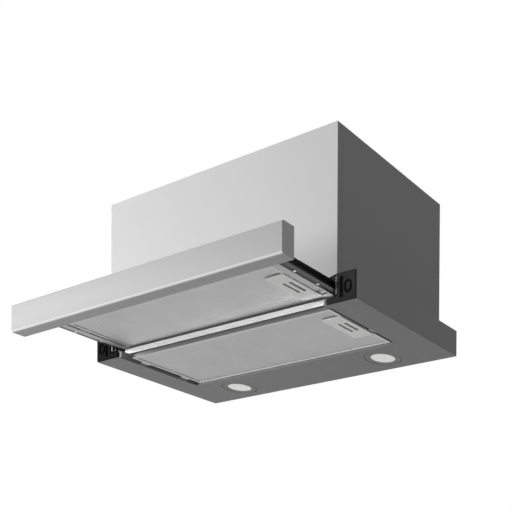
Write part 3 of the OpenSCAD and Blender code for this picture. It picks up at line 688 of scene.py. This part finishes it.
@dataclass(frozen=True)
class FrostedLens(Finish):
    """Milky diffuser of a lamp, with a faint painted glow while the lamp itself gives no light."""

    colour: Colour = (0.80, 0.80, 0.78)
    painted_glow: float = 0.33

    def dress(self, name: str) -> bpy.types.Material:
        """Soft cloudy white under a clear skin, with a faint painted glow.

        Args:
            name: The material's name.

        Returns:
            The material.
        """
        tree = ShaderTree.named(name)
        at = tree.place()
        frost = tree.noise(at, 1900.0, 2.0)
        cloud = tree.noise(at, 60.0, 2.0)
        return tree.surface({
            "Base Color": tree.between(cloud, shade(self.colour, 0.96), shade(self.colour, 1.03)),
            "Roughness": 0.3 + frost * 0.1,
            "Coat Weight": 0.3,
            # painted glow: the diffuser gives off a little light of its own though the lamp is off
            "Emission Color": tree.between(cloud, shade(self.colour, 0.9), self.colour),
            "Emission Strength": self.painted_glow,
            "Normal": tree.bumps(frost, 0.01),
        })


FINISHES: dict[Slot, Finish] = {
    Slot.PAINTED_SHEET: StovedPaint(),
    Slot.STEEL_PANEL: BrushedMetal(
        colour=grey(0.46), roughness=0.44, metallic=0.08, gloss=0.12
    ),
    Slot.ZINC_SHEET: ZincedSheet(),
    Slot.RAIL_STEEL: BrushedMetal(colour=grey(0.95), roughness=0.3, metallic=0.5, gloss=0.9),
    Slot.SLIDE_STEEL: BrushedMetal(
        colour=grey(0.06), roughness=0.42, metallic=0.3, along=Axis.Y, contrast=0.15
    ),
    Slot.BRIGHT_STEEL: PolishedSteel(),
    Slot.BLACK_PLASTIC: MouldedPlastic(colour=(0.022, 0.022, 0.023), roughness=0.46),
    Slot.GREY_PLASTIC: MouldedPlastic(colour=(0.22, 0.22, 0.225)),
    Slot.WHITE_PLASTIC: MouldedPlastic(
        colour=(0.9, 0.9, 0.89), roughness=0.22, gloss=1.0, grain_mm=0.01
    ),
    Slot.FILTER_ALUMINIUM: BrushedMetal(
        colour=grey(0.66), roughness=0.4, metallic=0.6, contrast=0.07
    ),
    Slot.LAMP_DIFFUSER: FrostedLens(),
    Slot.ALUMINIUM_CAST: MouldedPlastic(colour=(0.42, 0.42, 0.43), roughness=0.55, grain_mm=0.04),
    Slot.MOTOR_PAINT: StovedPaint(colour=(0.09, 0.09, 0.095), roughness=0.5, peel_mm=0.03),
    Slot.BRASS_CAGE: BrushedMetal(
        colour=(0.45, 0.34, 0.15), roughness=0.34, metallic=0.8, along=Axis.Y
    ),
    Slot.BUSH_RUBBER: MouldedPlastic(colour=grey(0.02), roughness=0.7),
    Slot.BOARD: MouldedPlastic(colour=(0.03, 0.13, 0.06), roughness=0.4, grain_per_m=700.0),
}


class FinishBook:
    """Makes each material once and hands it out."""

    def __init__(self) -> None:
        """Starts with no material made."""
        self.made: dict[str, bpy.types.Material] = {}

    def of(self, slot: Slot) -> bpy.types.Material:
        """The material of one of the record's slots."""
        return self.named(slot.value, FINISHES[slot])

    def named(self, name: str, finish: Finish) -> bpy.types.Material:
        """The material of a finish, made the first time that it is asked for.

        Args:
            name: The material's name.
            finish: How it looks.

        Returns:
            The material.
        """
        if name not in self.made:
            self.made[name] = finish.dress(name)
        return self.made[name]


@dataclass(frozen=True)
class NodeBox:
    """Lowest and highest corner of a CAD node, in millimetres."""

    low: np.ndarray
    high: np.ndarray

    @classmethod
    def of(cls, node: str) -> "NodeBox":
        """The box of the named node."""
        low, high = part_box(node)
        return cls(np.array(low) / MM, np.array(high) / MM)

    @property
    def centre(self) -> np.ndarray:
        """Middle of the box."""
        return (self.low + self.high) / 2


@dataclass(frozen=True)
class Patch:
    """Points in millimetres and four-sided faces of a worked-out surface."""

    points: np.ndarray
    faces: np.ndarray

    @classmethod
    def of_grid(cls, grid: np.ndarray, wrap: bool = False) -> "Patch":
        """Joins the points of a grid with faces.

        The face at row i and column j has the corners (i, j), (i, j + 1),
        (i + 1, j + 1) and (i + 1, j). A wrapped grid also joins its last column to
        its first.

        Args:
            grid: Points by row and column.
            wrap: True where the columns close on themselves.

        Returns:
            The surface.
        """
        rows, columns = grid.shape[:2]
        last = columns if wrap else columns - 1
        i, j = np.meshgrid(np.arange(rows - 1), np.arange(last), indexing="ij")
        k = (j + 1) % columns
        corners = (i * columns + j, i * columns + k, (i + 1) * columns + k, (i + 1) * columns + j)
        return cls(grid.reshape(-1, 3), np.stack(corners, axis=-1).reshape(-1, 4))

    def moved(self, offset: np.ndarray) -> "Patch":
        """The surface in another place."""
        return Patch(self.points + np.asarray(offset), self.faces)

    def turned_over(self) -> "Patch":
        """The surface with its faces the other way round."""
        return Patch(self.points, self.faces[:, ::-1])

    @staticmethod
    def joined(patches: list["Patch"]) -> "Patch":
        """Puts several surfaces into one.

        Args:
            patches: The surfaces.

        Returns:
            One surface with all their points and faces.
        """
        starts = np.cumsum([0] + [len(patch.points) for patch in patches[:-1]])
        faces = [patch.faces + start for patch, start in zip(patches, starts)]
        return Patch(np.concatenate([patch.points for patch in patches]), np.concatenate(faces))


def revolved(profile: np.ndarray, segments: int) -> Patch:
    """Turns an outline about the upright axis through the origin.

    The point at share t along the outline and angle a is
    (radius(t) cos a, radius(t) sin a, height(t)).

    Args:
        profile: Rows of radius and height, from one end of the outline to the other.
        segments: Number of steps round the axis.

    Returns:
        The surface, facing outwards where the height grows along the outline.
    """
    angle = np.linspace(0.0, 2 * np.pi, segments, endpoint=False)
    radius, height = profile[:, :1], profile[:, 1:]
    parts = radius * np.cos(angle), radius * np.sin(angle), height
    return Patch.of_grid(np.stack(np.broadcast_arrays(*parts), axis=-1), wrap=True)


def arc(centre: tuple[float, float], radius: float, start: float, end: float, steps: int) -> np.ndarray:
    """Points on a circular arc.

    Args:
        centre: Middle of the circle.
        radius: Its radius.
        start: First angle in degrees.
        end: Last angle in degrees.
        steps: Number of points.

    Returns:
        Rows of two coordinates.
    """
    angle = np.radians(np.linspace(start, end, steps))
    return np.stack([centre[0] + radius * np.cos(angle), centre[1] + radius * np.sin(angle)], axis=-1)


@dataclass(frozen=True)
class EdgeRound:
    """Rounding of the edges of a folded or moulded piece."""

    width_mm: float = 0.3
    segments: int = 2
    from_degrees: float = 40.0


THIN, SOFT, FOLDED, THICK = (EdgeRound(width) for width in (0.28, 0.3, 0.35, 0.4))


class PieceMaker:
    """Turns surfaces and CAD nodes into finished pieces of the scene."""

    def __init__(self, book: FinishBook) -> None:
        """Keeps the book of finishes.

        Args:
            book: Where the materials come from.
        """
        self.book = book
        self.report: list[str] = []
        self.done: set[str] = set()

    def _mesh(self, name: str, points_m: np.ndarray, faces: np.ndarray, clean: bool) -> bpy.types.Mesh:
        """Puts points and faces into a mesh and closes its seams and poles.

        Args:
            name: The mesh's name.
            points_m: Points in metres.
            faces: Corner numbers, one row to a face.
            clean: True where flat neighbours are joined into one face.

        Returns:
            The mesh.
        """
        mesh = bpy.data.meshes.new(name)
        mesh.from_pydata(points_m.tolist(), [], faces.tolist())
        work = bmesh.new()
        work.from_mesh(mesh)
        bmesh.ops.remove_doubles(work, verts=work.verts, dist=WELD_MM * MM)
        if clean:
            bmesh.ops.dissolve_limit(
                work, angle_limit=math.radians(FLAT_DEG), verts=work.verts, edges=work.edges
            )
        work.to_mesh(mesh)
        work.free()
        return mesh

    def _piece(self, name: str, mesh: bpy.types.Mesh, body: str, slot: Slot, finish: Finish | None,
               smooth_deg: float) -> bpy.types.Object:
        """Links a mesh as a piece that rides on a body.

        Args:
            name: The piece's name.
            mesh: Its mesh.
            body: The body that it rides on.
            slot: The record's slot that it takes its finish from.
            finish: A finish of its own, or None for the slot's.
            smooth_deg: Edges sharper than this stay sharp.

        Returns:
            The piece.
        """
        piece = bpy.data.objects.new(name, mesh)
        bpy.context.scene.collection.objects.link(piece)
        mesh.shade_smooth()
        mesh.set_sharp_from_angle(angle=math.radians(smooth_deg))
        own = self.book.named(name + "_finish", finish) if finish else self.book.of(slot)
        mesh.materials.clear()
        mesh.materials.append(own)
        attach(piece, body)
        return piece

    def surface(self, name: str, patch: Patch, body: str, slot: Slot, replaced: str,
                finish: Finish | None = None) -> None:
        """Makes a piece of a worked-out surface.

        Args:
            name: The piece's name.
            patch: The surface.
            body: The body that it rides on.
            slot: The record's slot that it takes its finish from.
            replaced: The CAD node that the piece stands for.
            finish: A finish of its own, or None for the slot's.
        """
        mesh = self._mesh(name, patch.points * MM, patch.faces, clean=False)
        piece = self._piece(name, mesh, body, slot, finish, SMOOTH_DEG)
        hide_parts(replaced)
        self.done.add(replaced)
        self.report.append(f"{name}: {len(mesh.polygons)} faces")

    def softened(self, node: str, edge: EdgeRound, finish: Finish | None = None) -> None:
        """Shows a copy of a CAD node with its edges rounded in the node's place.

        Args:
            node: The CAD node.
            edge: The rounding.
            finish: A finish of its own, or None for its slot's.
        """
        source = frame["nodes"][node]
        points = np.empty(len(source.data.vertices) * 3, np.float32)
        source.data.vertices.foreach_get("co", points)
        corners = np.empty(len(source.data.loops), np.int32)
        source.data.loops.foreach_get("vertex_index", corners)
        places, numbers = np.unique(np.round(points.reshape(-1, 3), 6), axis=0, return_inverse=True)
        faces = numbers.reshape(-1)[corners].reshape(-1, 3)
        whole = (faces != np.roll(faces, 1, axis=1)).all(axis=1)
        slot = Slot(source.material_slots[0].name)
        mesh = self._mesh(node + "_dressed", places, faces[whole], clean=True)
        piece = self._piece(node + "_dressed", mesh, source["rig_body"], slot, finish, edge.from_degrees)
        bevel = piece.modifiers.new("edge_round", "BEVEL")
        bevel.width = edge.width_mm * MM
        bevel.segments = edge.segments
        bevel.limit_method = "ANGLE"
        bevel.angle_limit = math.radians(edge.from_degrees)
        bevel.harden_normals = True
        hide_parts(node)
        self.done.add(node)
        self.report.append(f"{node}: edges rounded by {edge.width_mm} mm")

    def dress(self, node: str, finish: Finish | None = None) -> None:
        """Gives a CAD node that stays its material.

        Args:
            node: The CAD node.
            finish: A finish of its own, or None for its slot's.
        """
        target = frame["nodes"][node]
        slot = Slot(target.material_slots[0].name)
        own = self.book.named(node + "_finish", finish) if finish else self.book.of(slot)
        for place in target.material_slots:
            place.material = own
        self.done.add(node)
        self.report.append(f"{node}: dressed as {slot.value}")


class SubAssembly(ABC):
    """A group of pieces that are made and dressed together."""

    @abstractmethod
    def build(self, maker: PieceMaker) -> None:
        """Makes and dresses the pieces.

        Args:
            maker: What turns surfaces and nodes into pieces.
        """


@dataclass
class Housing(SubAssembly):
    """Folded sheets of the frame and of the body above it."""

    fold: EdgeRound = EdgeRound(0.32, 2)
    # painted light: the front cover's face is painted lighter than the body's grey
    face: Colour = grey(0.71)

    def build(self, maker: PieceMaker) -> None:
        """Rounds the folds of every outer sheet.

        Args:
            maker: What turns surfaces and nodes into pieces.
        """
        for node in ("lower_frame", "body_shell", "top_plate", "front_rail"):
            maker.softened(node, self.fold)
        half = NodeBox.of("front_cover").high[0] - self.fold.width_mm
        # the face gets painted light, and the returns keep the body's grey
        maker.softened("front_cover", self.fold, LitFacePaint(colour=self.face, half_mm=half))


@dataclass
class EndCaps(SubAssembly):
    """Plastic caps in the two front corners of the frame."""

    edge: EdgeRound = EdgeRound(0.25, 2)
    rim_mm: float = 0.6
    # the same black plastic on both caps; the left one is painted darker as painted shadow of the drawer
    # panel
    lit_and_shaded_tones: tuple[tuple[str, float], ...] = (("end_cap_left", 0.005), ("end_cap_right", 0.055))

    def build(self, maker: PieceMaker) -> None:
        """Softens both caps, with painted shade in their groove and ring, and the left cap painted
        darker than the right.

        Args:
            maker: What turns surfaces and nodes into pieces.
        """
        for node, tone in self.lit_and_shaded_tones:
            face = NodeBox.of(node).low[1] + self.rim_mm
            # painted shade in the groove and ring, at a quarter of the cap's tone
            plastic = RecessShadePlastic(colour=grey(tone), roughness=0.6, gloss=0.02, axis=Axis.Y,
                                  recess_shade=grey(tone / 4), face_mm=face)
            maker.softened(node, self.edge, plastic)


@dataclass
class GreaseFilter(SubAssembly):
    """A cassette: a folded border, a pack of expanded mesh, and a latch."""

    prefix: str
    body: str
    long_way: float = 6.0
    short_way: float = 3.2
    step_x: float = 1.2
    step_y: float = 0.64
    relief: float = 0.28
    hem: float = 1.2
    grip_mm: float = 0.7
    grip_in: float = 19.0
    tone: float = 0.55
    border_w: float = 5.0

    def _pack(self) -> Patch:
        """The mesh pack as one closed surface.

        The underside's height at x and y is the relief times the larger of
        cos(pi (x / long + y / short)) and cos(pi (x / long - y / short)), both
        without their sign and to the third power, so strands cross in diamonds.
        It fades out over the hem at the border. The back is a fan from its middle.

        Returns:
            The surface.
        """
        box = NodeBox.of(f"{self.prefix}_filter_mesh")
        x = np.linspace(box.low[0], box.high[0], int((box.high[0] - box.low[0]) / self.step_x))
        y = np.linspace(box.low[1], box.high[1], int((box.high[1] - box.low[1]) / self.step_y))
        grid_x, grid_y = np.meshgrid(x, y)
        along, across = grid_x * np.pi / self.long_way, grid_y * np.pi / self.short_way
        strand = np.maximum(np.abs(np.cos(along + across)), np.abs(np.cos(along - across))) ** 3
        edge = np.minimum(
            np.minimum(grid_x - x[0], x[-1] - grid_x), np.minimum(grid_y - y[0], y[-1] - grid_y)
        )
        height = self.relief * strand * np.clip(edge / self.hem, 0.0, 1.0)
        front = np.stack([grid_x, grid_y, box.low[2] + self.relief - height], axis=-1)
        rim = np.concatenate([front[0, :-1], front[:-1, -1], front[-1, :0:-1], front[:0:-1, 0]])
        back = rim * [1.0, 1.0, 0.0] + [0.0, 0.0, box.high[2]]
        middle = np.broadcast_to(back.mean(axis=0), back.shape)
        return Patch.joined([
            Patch.of_grid(front).turned_over(),
            Patch.of_grid(np.stack([rim, back, middle]), wrap=True),
        ])

    def build(self, maker: PieceMaker) -> None:
        """Makes the mesh, and softens the border, the latch and the bolt.

        Args:
            maker: What turns surfaces and nodes into pieces.
        """
        pack = MeshPack(grey(self.tone), self.long_way, self.short_way)
        node = f"{self.prefix}_filter_mesh"
        maker.surface(f"{self.prefix}_mesh_pack", self._pack(), self.body, Slot.FILTER_ALUMINIUM,
                      node, pack)
        border = f"{self.prefix}_filter_frame"
        box = NodeBox.of(border)
        # painted shade on the border's front face and a painted highlight on its rear hem
        rolled = CassetteBorder(colour=grey(0.52), roughness=0.4, metallic=0.6, contrast=0.07,
                                front_mm=box.low[1], rear_mm=box.high[1] - self.border_w)
        maker.softened(border, THIN, rolled)
        maker.softened(f"{self.prefix}_latch", EdgeRound(0.3, 3))
        bolt = f"{self.prefix}_latch_bolt"
        # painted shade in the bolt's recess, lit before the grip and dark past it
        plastic = LatchPlastic(colour=(0.9, 0.9, 0.89), roughness=0.22, gloss=1.0,
                               recess_shade=grey(0.06),
                               face_mm=NodeBox.of(bolt).low[2] + self.grip_mm,
                               grip_mm=box.high[0] - self.grip_in)
        maker.softened(bolt, FOLDED, plastic)


@dataclass
class RoundLamps(SubAssembly):
    """Two round lamps in the rear band of the frame."""

    ripple_pitch: float = 1.5
    ripple: float = 0.07
    crown: float = 0.25
    skin: float = 0.3
    steps: int = 56
    around: int = 72

    def _lens(self, radius: float, low: float, high: float) -> Patch:
        """One diffuser as a closed surface.

        Its lower face at radius r stands at low plus
        crown * (1 - (1 - (r / R) squared)) less ripple * cos(2 pi r / pitch), so it
        bulges down in the middle and carries fine rings.

        Args:
            radius: Outer radius.
            low: Height of the lowest point.
            high: Height of the upper face.

        Returns:
            The surface, about the origin.
        """
        r = np.linspace(0.0, radius - self.skin, self.steps)
        face = low + self.ripple + self.crown * (r / radius) ** 2 - self.ripple * np.cos(
            2 * np.pi * r / self.ripple_pitch
        )
        rim = arc((radius - self.skin, face[-1] + self.skin), self.skin, -90, 0, 4)
        profile = np.concatenate([
            np.stack([r, face], axis=-1), rim, [[radius, high], [0.0, high]]
        ])
        return revolved(profile, self.around)

    def build(self, maker: PieceMaker) -> None:
        """Makes the lenses, softens the bezels and dresses the modules.

        Args:
            maker: What turns surfaces and nodes into pieces.
        """
        box = NodeBox.of("lamp_lenses")
        radius = (box.high[1] - box.low[1]) / 2
        places = [[side * (box.high[0] - radius), box.centre[1], 0.0] for side in (-1, 1)]
        lens = self._lens(radius, box.low[2], box.high[2])
        maker.surface("lamp_diffusers", Patch.joined([lens.moved(place) for place in places]),
                      "housing", Slot.LAMP_DIFFUSER, "lamp_lenses")
        maker.softened("lamp_bezels", EdgeRound(0.35, 3))
        maker.dress("led_modules")


@dataclass
class PullOutDrawer(SubAssembly):
    """The front panel and the folded sheets of the drawer behind it."""

    def build(self, maker: PieceMaker) -> None:
        """Softens the drawer's pieces.

        Args:
            maker: What turns surfaces and nodes into pieces.
        """
        low = NodeBox.of("drawer_panel").low
        # the panel's lower front fold gets a painted highlight
        steel = FoldHighlightSteel(colour=grey(0.46), roughness=0.44, metallic=0.08, gloss=0.12,
                             front_mm=low[1], low_mm=low[2])
        maker.softened("drawer_panel", EdgeRound(0.35, 3), steel)
        for node in ("panel_liner", "drawer_side_left", "drawer_side_right", "drawer_front_bar",
                     "drawer_rear_bar", "drawer_cover"):
            maker.softened(node, THIN)


@dataclass
class PlainGroup(SubAssembly):
    """CAD nodes that only need their edges rounded, or a finish where no rounding is given."""

    name: str
    nodes: tuple[tuple[str, EdgeRound | None], ...]

    def build(self, maker: PieceMaker) -> None:
        """Softens or dresses the nodes in their order.

        Args:
            maker: What turns surfaces and nodes into pieces.
        """
        for node, edge in self.nodes:
            if edge:
                maker.softened(node, edge)
            else:
                maker.dress(node)


SLIDES = PlainGroup("BallSlides", tuple(
    (name + side, edge) for side in ("left", "right")
    for name, edge in (("slide_outer_", FOLDED), ("slide_inner_", FOLDED), ("ball_cage_", None))
) + (("slide_brackets", SOFT),))
OUTLET = PlainGroup("DuctOutlet", (
    ("duct_collar", EdgeRound(0.5, 3)), ("flap_rear", SOFT), ("flap_front", SOFT), ("flap_pin", None),
))
BLOWER = PlainGroup("Blower", tuple((name, None) for name in (
    "volute_left", "volute_right", "impeller", "motor_shaft", "motor_housing", "motor_bearings",
    "motor_bracket", "motor_bushes",
)))
WIRING = PlainGroup("Wiring", tuple(
    (name, THICK) for name in ("cable_gland", "control_box", "control_lid", "door_switch")
) + tuple((name, None) for name in ("control_board", "capacitor", "switch_plunger")))
CONTROLS = PlainGroup("ControlStrip", (
    ("control_bezel", EdgeRound(0.4, 3)), ("speed_slider", EdgeRound(0.3, 3)),
    ("lamp_slider", EdgeRound(0.3, 3)),
))


@dataclass(frozen=True)
class CrossScrew:
    """A pan-head screw with a cross recess, with its seat at the origin."""

    shank_r: float
    head_r: float
    head_h: float
    length: float
    recess: float = 0.75
    wing: float = 0.62
    slot: float = 0.2
    dome: float = 0.45
    around: int = 40
    rings: int = 13

    def patch(self) -> Patch:
        """The screw as one closed surface, with its head along +Z.

        The head's top at radius r and angle a is
        head_h * (1 - dome (r / R) to the fourth), lowered by the recess inside
        the two bars |x| < slot * R and |y| < slot * R, up to wing * R from the
        middle, with a slope over a twelfth of R.

        Returns:
            The surface.
        """
        angle = np.linspace(0.0, 2 * np.pi, self.around, endpoint=False)
        radius = self.head_r * np.linspace(0.0, 1.0, self.rings)[::-1, None]
        x, y = radius * np.cos(angle), radius * np.sin(angle)
        slope = self.head_r / 12
        bar_x = np.clip((self.slot * self.head_r - np.abs(x)) / slope, 0, 1)
        bar_y = np.clip((self.slot * self.head_r - np.abs(y)) / slope, 0, 1)
        reach = np.clip((self.wing * self.head_r - radius) / slope, 0, 1)
        cross = np.maximum(bar_x, bar_y) * reach
        top = self.head_h * (1 - self.dome * (radius / self.head_r) ** 4)
        top = top - self.recess * self.head_h * cross
        head = np.stack([x, y, top], axis=-1)
        body = np.array([
            [0.0, -self.length], [self.shank_r * 0.6, -self.length],
            [self.shank_r, -self.length + self.shank_r * 0.5], [self.shank_r, 0.0], [self.head_r, 0.0],
        ])
        ring = np.stack(np.broadcast_arrays(
            body[:, :1] * np.cos(angle), body[:, :1] * np.sin(angle), body[:, 1:]
        ), axis=-1)
        return Patch.of_grid(np.concatenate([ring, head]), wrap=True)


@dataclass
class Fasteners(SubAssembly):
    """Screws and rivets."""

    sheet: float = 1.0
    flange: float = 12.0
    head_h: float = 1.6
    side_shares: tuple[float, ...] = (0.15, 0.5, 0.85)
    cross_share: float = 0.5
    duct_radius: float = 70.0

    def _top_places(self) -> list[tuple[float, float, float]]:
        """Finds the ten screws that hold the top plate.

        Returns:
            Their seats.
        """
        body, cover = NodeBox.of("body_shell"), NodeBox.of("front_cover")
        inset = self.flange / 2
        side, top = body.high[0] - self.sheet - inset, body.high[2]
        front = NodeBox.of("end_cap_left").low[1]
        places = [(s * side, front * share, top) for s in (-1, 1) for share in self.side_shares]
        places += [(s * body.high[0] * self.cross_share, y, top)
                   for s in (-1, 1) for y in (-inset, cover.low[1] + inset)]
        return places

    def _duct_places(self) -> list[tuple[float, float, float]]:
        """Finds the four screws through the collar's flange.

        Returns:
            Their seats.
        """
        collar, screws = NodeBox.of("duct_collar"), NodeBox.of("duct_screws")
        reach = self.duct_radius * math.sqrt(0.5)
        seat = screws.high[2] - self.head_h
        return [(s * reach, collar.centre[1] + t * reach, seat) for s in (-1, 1) for t in (-1, 1)]

    def build(self, maker: PieceMaker) -> None:
        """Makes the screws that show on top, and dresses the rest.

        Args:
            maker: What turns surfaces and nodes into pieces.
        """
        small = CrossScrew(1.5, 3.0, self.head_h, 6.0).patch()
        large = CrossScrew(2.0, 4.0, self.head_h, 9.0).patch()
        maker.surface("top_plate_screws", Patch.joined([small.moved(p) for p in self._top_places()]),
                      "housing", Slot.BRIGHT_STEEL, "top_screws")
        maker.surface("duct_collar_screws", Patch.joined([large.moved(p) for p in self._duct_places()]),
                      "housing", Slot.BRIGHT_STEEL, "duct_screws")
        for node in ("rear_rivets", "slide_rivets", "panel_screws"):
            maker.dress(node)


@dataclass(frozen=True)
class PhotoCamera:
    """The camera of the photograph.

    The picture's middle is far from the point that the camera looks at, as in
    a picture cut from a larger one, so the camera's third axis is slanted by a
    parent in place of a shift.
    """

    focal_px: float = 883.01
    centre_px: tuple[float, float] = (555.10, 691.00)
    picture_px: float = 512.0
    yaw_deg: float = 27.8074
    pitch_deg: float = -0.7757
    roll_deg: float = -0.5068
    place_mm: tuple[float, float, float] = (1169.55, -1277.22, -558.25)
    sensor_mm: float = 36.0

    def build(self) -> None:
        """Makes the camera and its slanted parent."""
        yaw, pitch, roll = (math.radians(a) for a in (self.yaw_deg, self.pitch_deg, self.roll_deg))
        flat = math.cos(pitch)
        ahead = Vector((-math.sin(yaw) * flat, math.cos(yaw) * flat, math.sin(pitch)))
        level = Vector((math.cos(yaw), math.sin(yaw), 0.0))
        down = ahead.cross(level)
        right = math.cos(roll) * level + math.sin(roll) * down
        up = math.sin(roll) * level - math.cos(roll) * down
        middle = self.picture_px / 2 - 0.5
        lean_x = (self.centre_px[0] - middle) / self.focal_px
        lean_y = (self.centre_px[1] - middle) / self.focal_px
        back = -ahead + lean_x * right - lean_y * up
        slant = Matrix((right, up, back)).transposed().to_4x4()
        slant.translation = Vector(self.place_mm) * MM
        data = bpy.data.cameras.new("photo_camera")
        data.sensor_width = self.sensor_mm
        data.lens = self.focal_px * back.length / self.picture_px * self.sensor_mm
        data.clip_start, data.clip_end = 0.01, 50.0
        camera = bpy.data.objects.new("photo_camera", data)
        rig = bpy.data.objects.new("photo_camera_rig", None)
        for item in (camera, rig):
            bpy.context.scene.collection.objects.link(item)
        camera.parent = rig
        camera.matrix_parent_inverse = slant
        bpy.context.scene.camera = camera


@dataclass(frozen=True)
class SoftBox:
    """A rectangular studio lamp."""

    name: str
    place: tuple[float, float, float]
    aim: tuple[float, float, float]
    size: float
    power: float

    def build(self) -> None:
        """Makes the lamp."""
        data = bpy.data.lights.new(self.name, "AREA")
        data.shape = "SQUARE"
        data.size = self.size
        data.energy = self.power
        lamp = bpy.data.objects.new(self.name, data)
        bpy.context.scene.collection.objects.link(lamp)
        lamp.location = self.place
        beam = Vector(self.aim) - Vector(self.place)
        lamp.rotation_euler = beam.to_track_quat("-Z", "Y").to_euler()


@dataclass
class Studio:
    """Pale floor, white surroundings, soft lamps and the camera."""

    floor_z: float = -0.95
    floor_half: float = 20.0
    surround: float = 0.02
    lamps: tuple[SoftBox, ...] = field(default_factory=lambda: (
        SoftBox("key_lamp", (-2.4, -2.3, 0.75), (0.0, -0.26, 0.12), 1.6, 60.0),
        SoftBox("low_lamp", (-1.3, -2.3, -0.55), (0.0, -0.3, 0.02), 0.7, 22.0),
        SoftBox("top_lamp", (0.1, -0.2, 2.4), (0.0, -0.15, 0.0), 1.6, 50.0),
        SoftBox("back_lamp", (-1.8, 1.7, 0.9), (0.0, -0.1, 0.1), 1.4, 34.0),
        SoftBox("fill_lamp", (2.6, -0.7, 0.5), (0.0, -0.1, 0.1), 1.6, 8.0),
    ))

    def _floor(self) -> None:
        """Makes the floor, nearly white to the eye and mid-grey in the light it throws back."""
        half = self.floor_half
        grid = np.array([[[-half, -half], [half, -half]], [[-half, half], [half, half]]])
        points = np.concatenate([grid, np.full((2, 2, 1), self.floor_z)], axis=-1).reshape(-1, 3)
        mesh = bpy.data.meshes.new("studio_floor")
        mesh.from_pydata(points.tolist(), [], [(0, 1, 3, 2)])
        floor = bpy.data.objects.new("studio_floor", mesh)
        bpy.context.scene.collection.objects.link(floor)
        tree = ShaderTree.named("studio_floor")
        path = tree.node("ShaderNodeLightPath", {}, {})
        eye, mirror, clear = (
            Signal(tree, path.outputs[f"Is {ray} Ray"]) for ray in ("Camera", "Glossy", "Transmission")
        )
        seen = eye + mirror + clear
        mesh.materials.append(tree.surface({
            "Base Color": tree.between(seen, grey(0.33), grey(0.20)),
            "Roughness": 0.8,
            "Emission Color": tree.between(seen, grey(0.0), grey(0.80)),
            "Emission Strength": 1.0,
        }))

    def _world(self) -> None:
        """Makes the surroundings white to the eye and dim to the surfaces."""
        bpy.context.scene.world = bpy.data.worlds.new("studio")
        tree = ShaderTree(bpy.context.scene.world)
        path = tree.node("ShaderNodeLightPath", {}, {})
        eye, mirror, clear = (
            Signal(tree, path.outputs[f"Is {ray} Ray"]) for ray in ("Camera", "Glossy", "Transmission")
        )
        strength = eye.at_least(mirror + clear).at_least(self.surround)
        sky = tree.node("ShaderNodeBackground", {}, {"Color": (1.0, 1.0, 1.0), "Strength": strength})
        tree.node("ShaderNodeOutputWorld", {}, {"Surface": Signal(tree, sky.outputs[0])})

    def build(self) -> None:
        """Sets up the whole studio."""
        bpy.context.scene.view_settings.view_transform = "Standard"
        self._floor()
        self._world()
        for lamp in self.lamps:
            lamp.build()
        PhotoCamera().build()


def main() -> None:
    """Builds the studio and every sub-assembly, and reports each piece."""
    logging.basicConfig(level=logging.INFO, format="%(message)s")
    Studio().build()
    maker = PieceMaker(FinishBook())
    parts: list[SubAssembly] = [
        Housing(),
        EndCaps(),
        GreaseFilter("fixed", "housing", tone=0.49),
        GreaseFilter("drawer", "drawer"),
        RoundLamps(),
        PullOutDrawer(),
        SLIDES,
        OUTLET,
        BLOWER,
        WIRING,
        CONTROLS,
        Fasteners(),
    ]
    for part in parts:
        part.build(maker)
        for line in maker.report:
            log.info("%s: %s", getattr(part, "name", type(part).__name__), line)
        maker.report.clear()
    bare = sorted(set(frame["nodes"]) - maker.done)
    if bare:
        raise RuntimeError(f"nodes without a finish: {bare}")


if __name__ == "__main__":
    main()
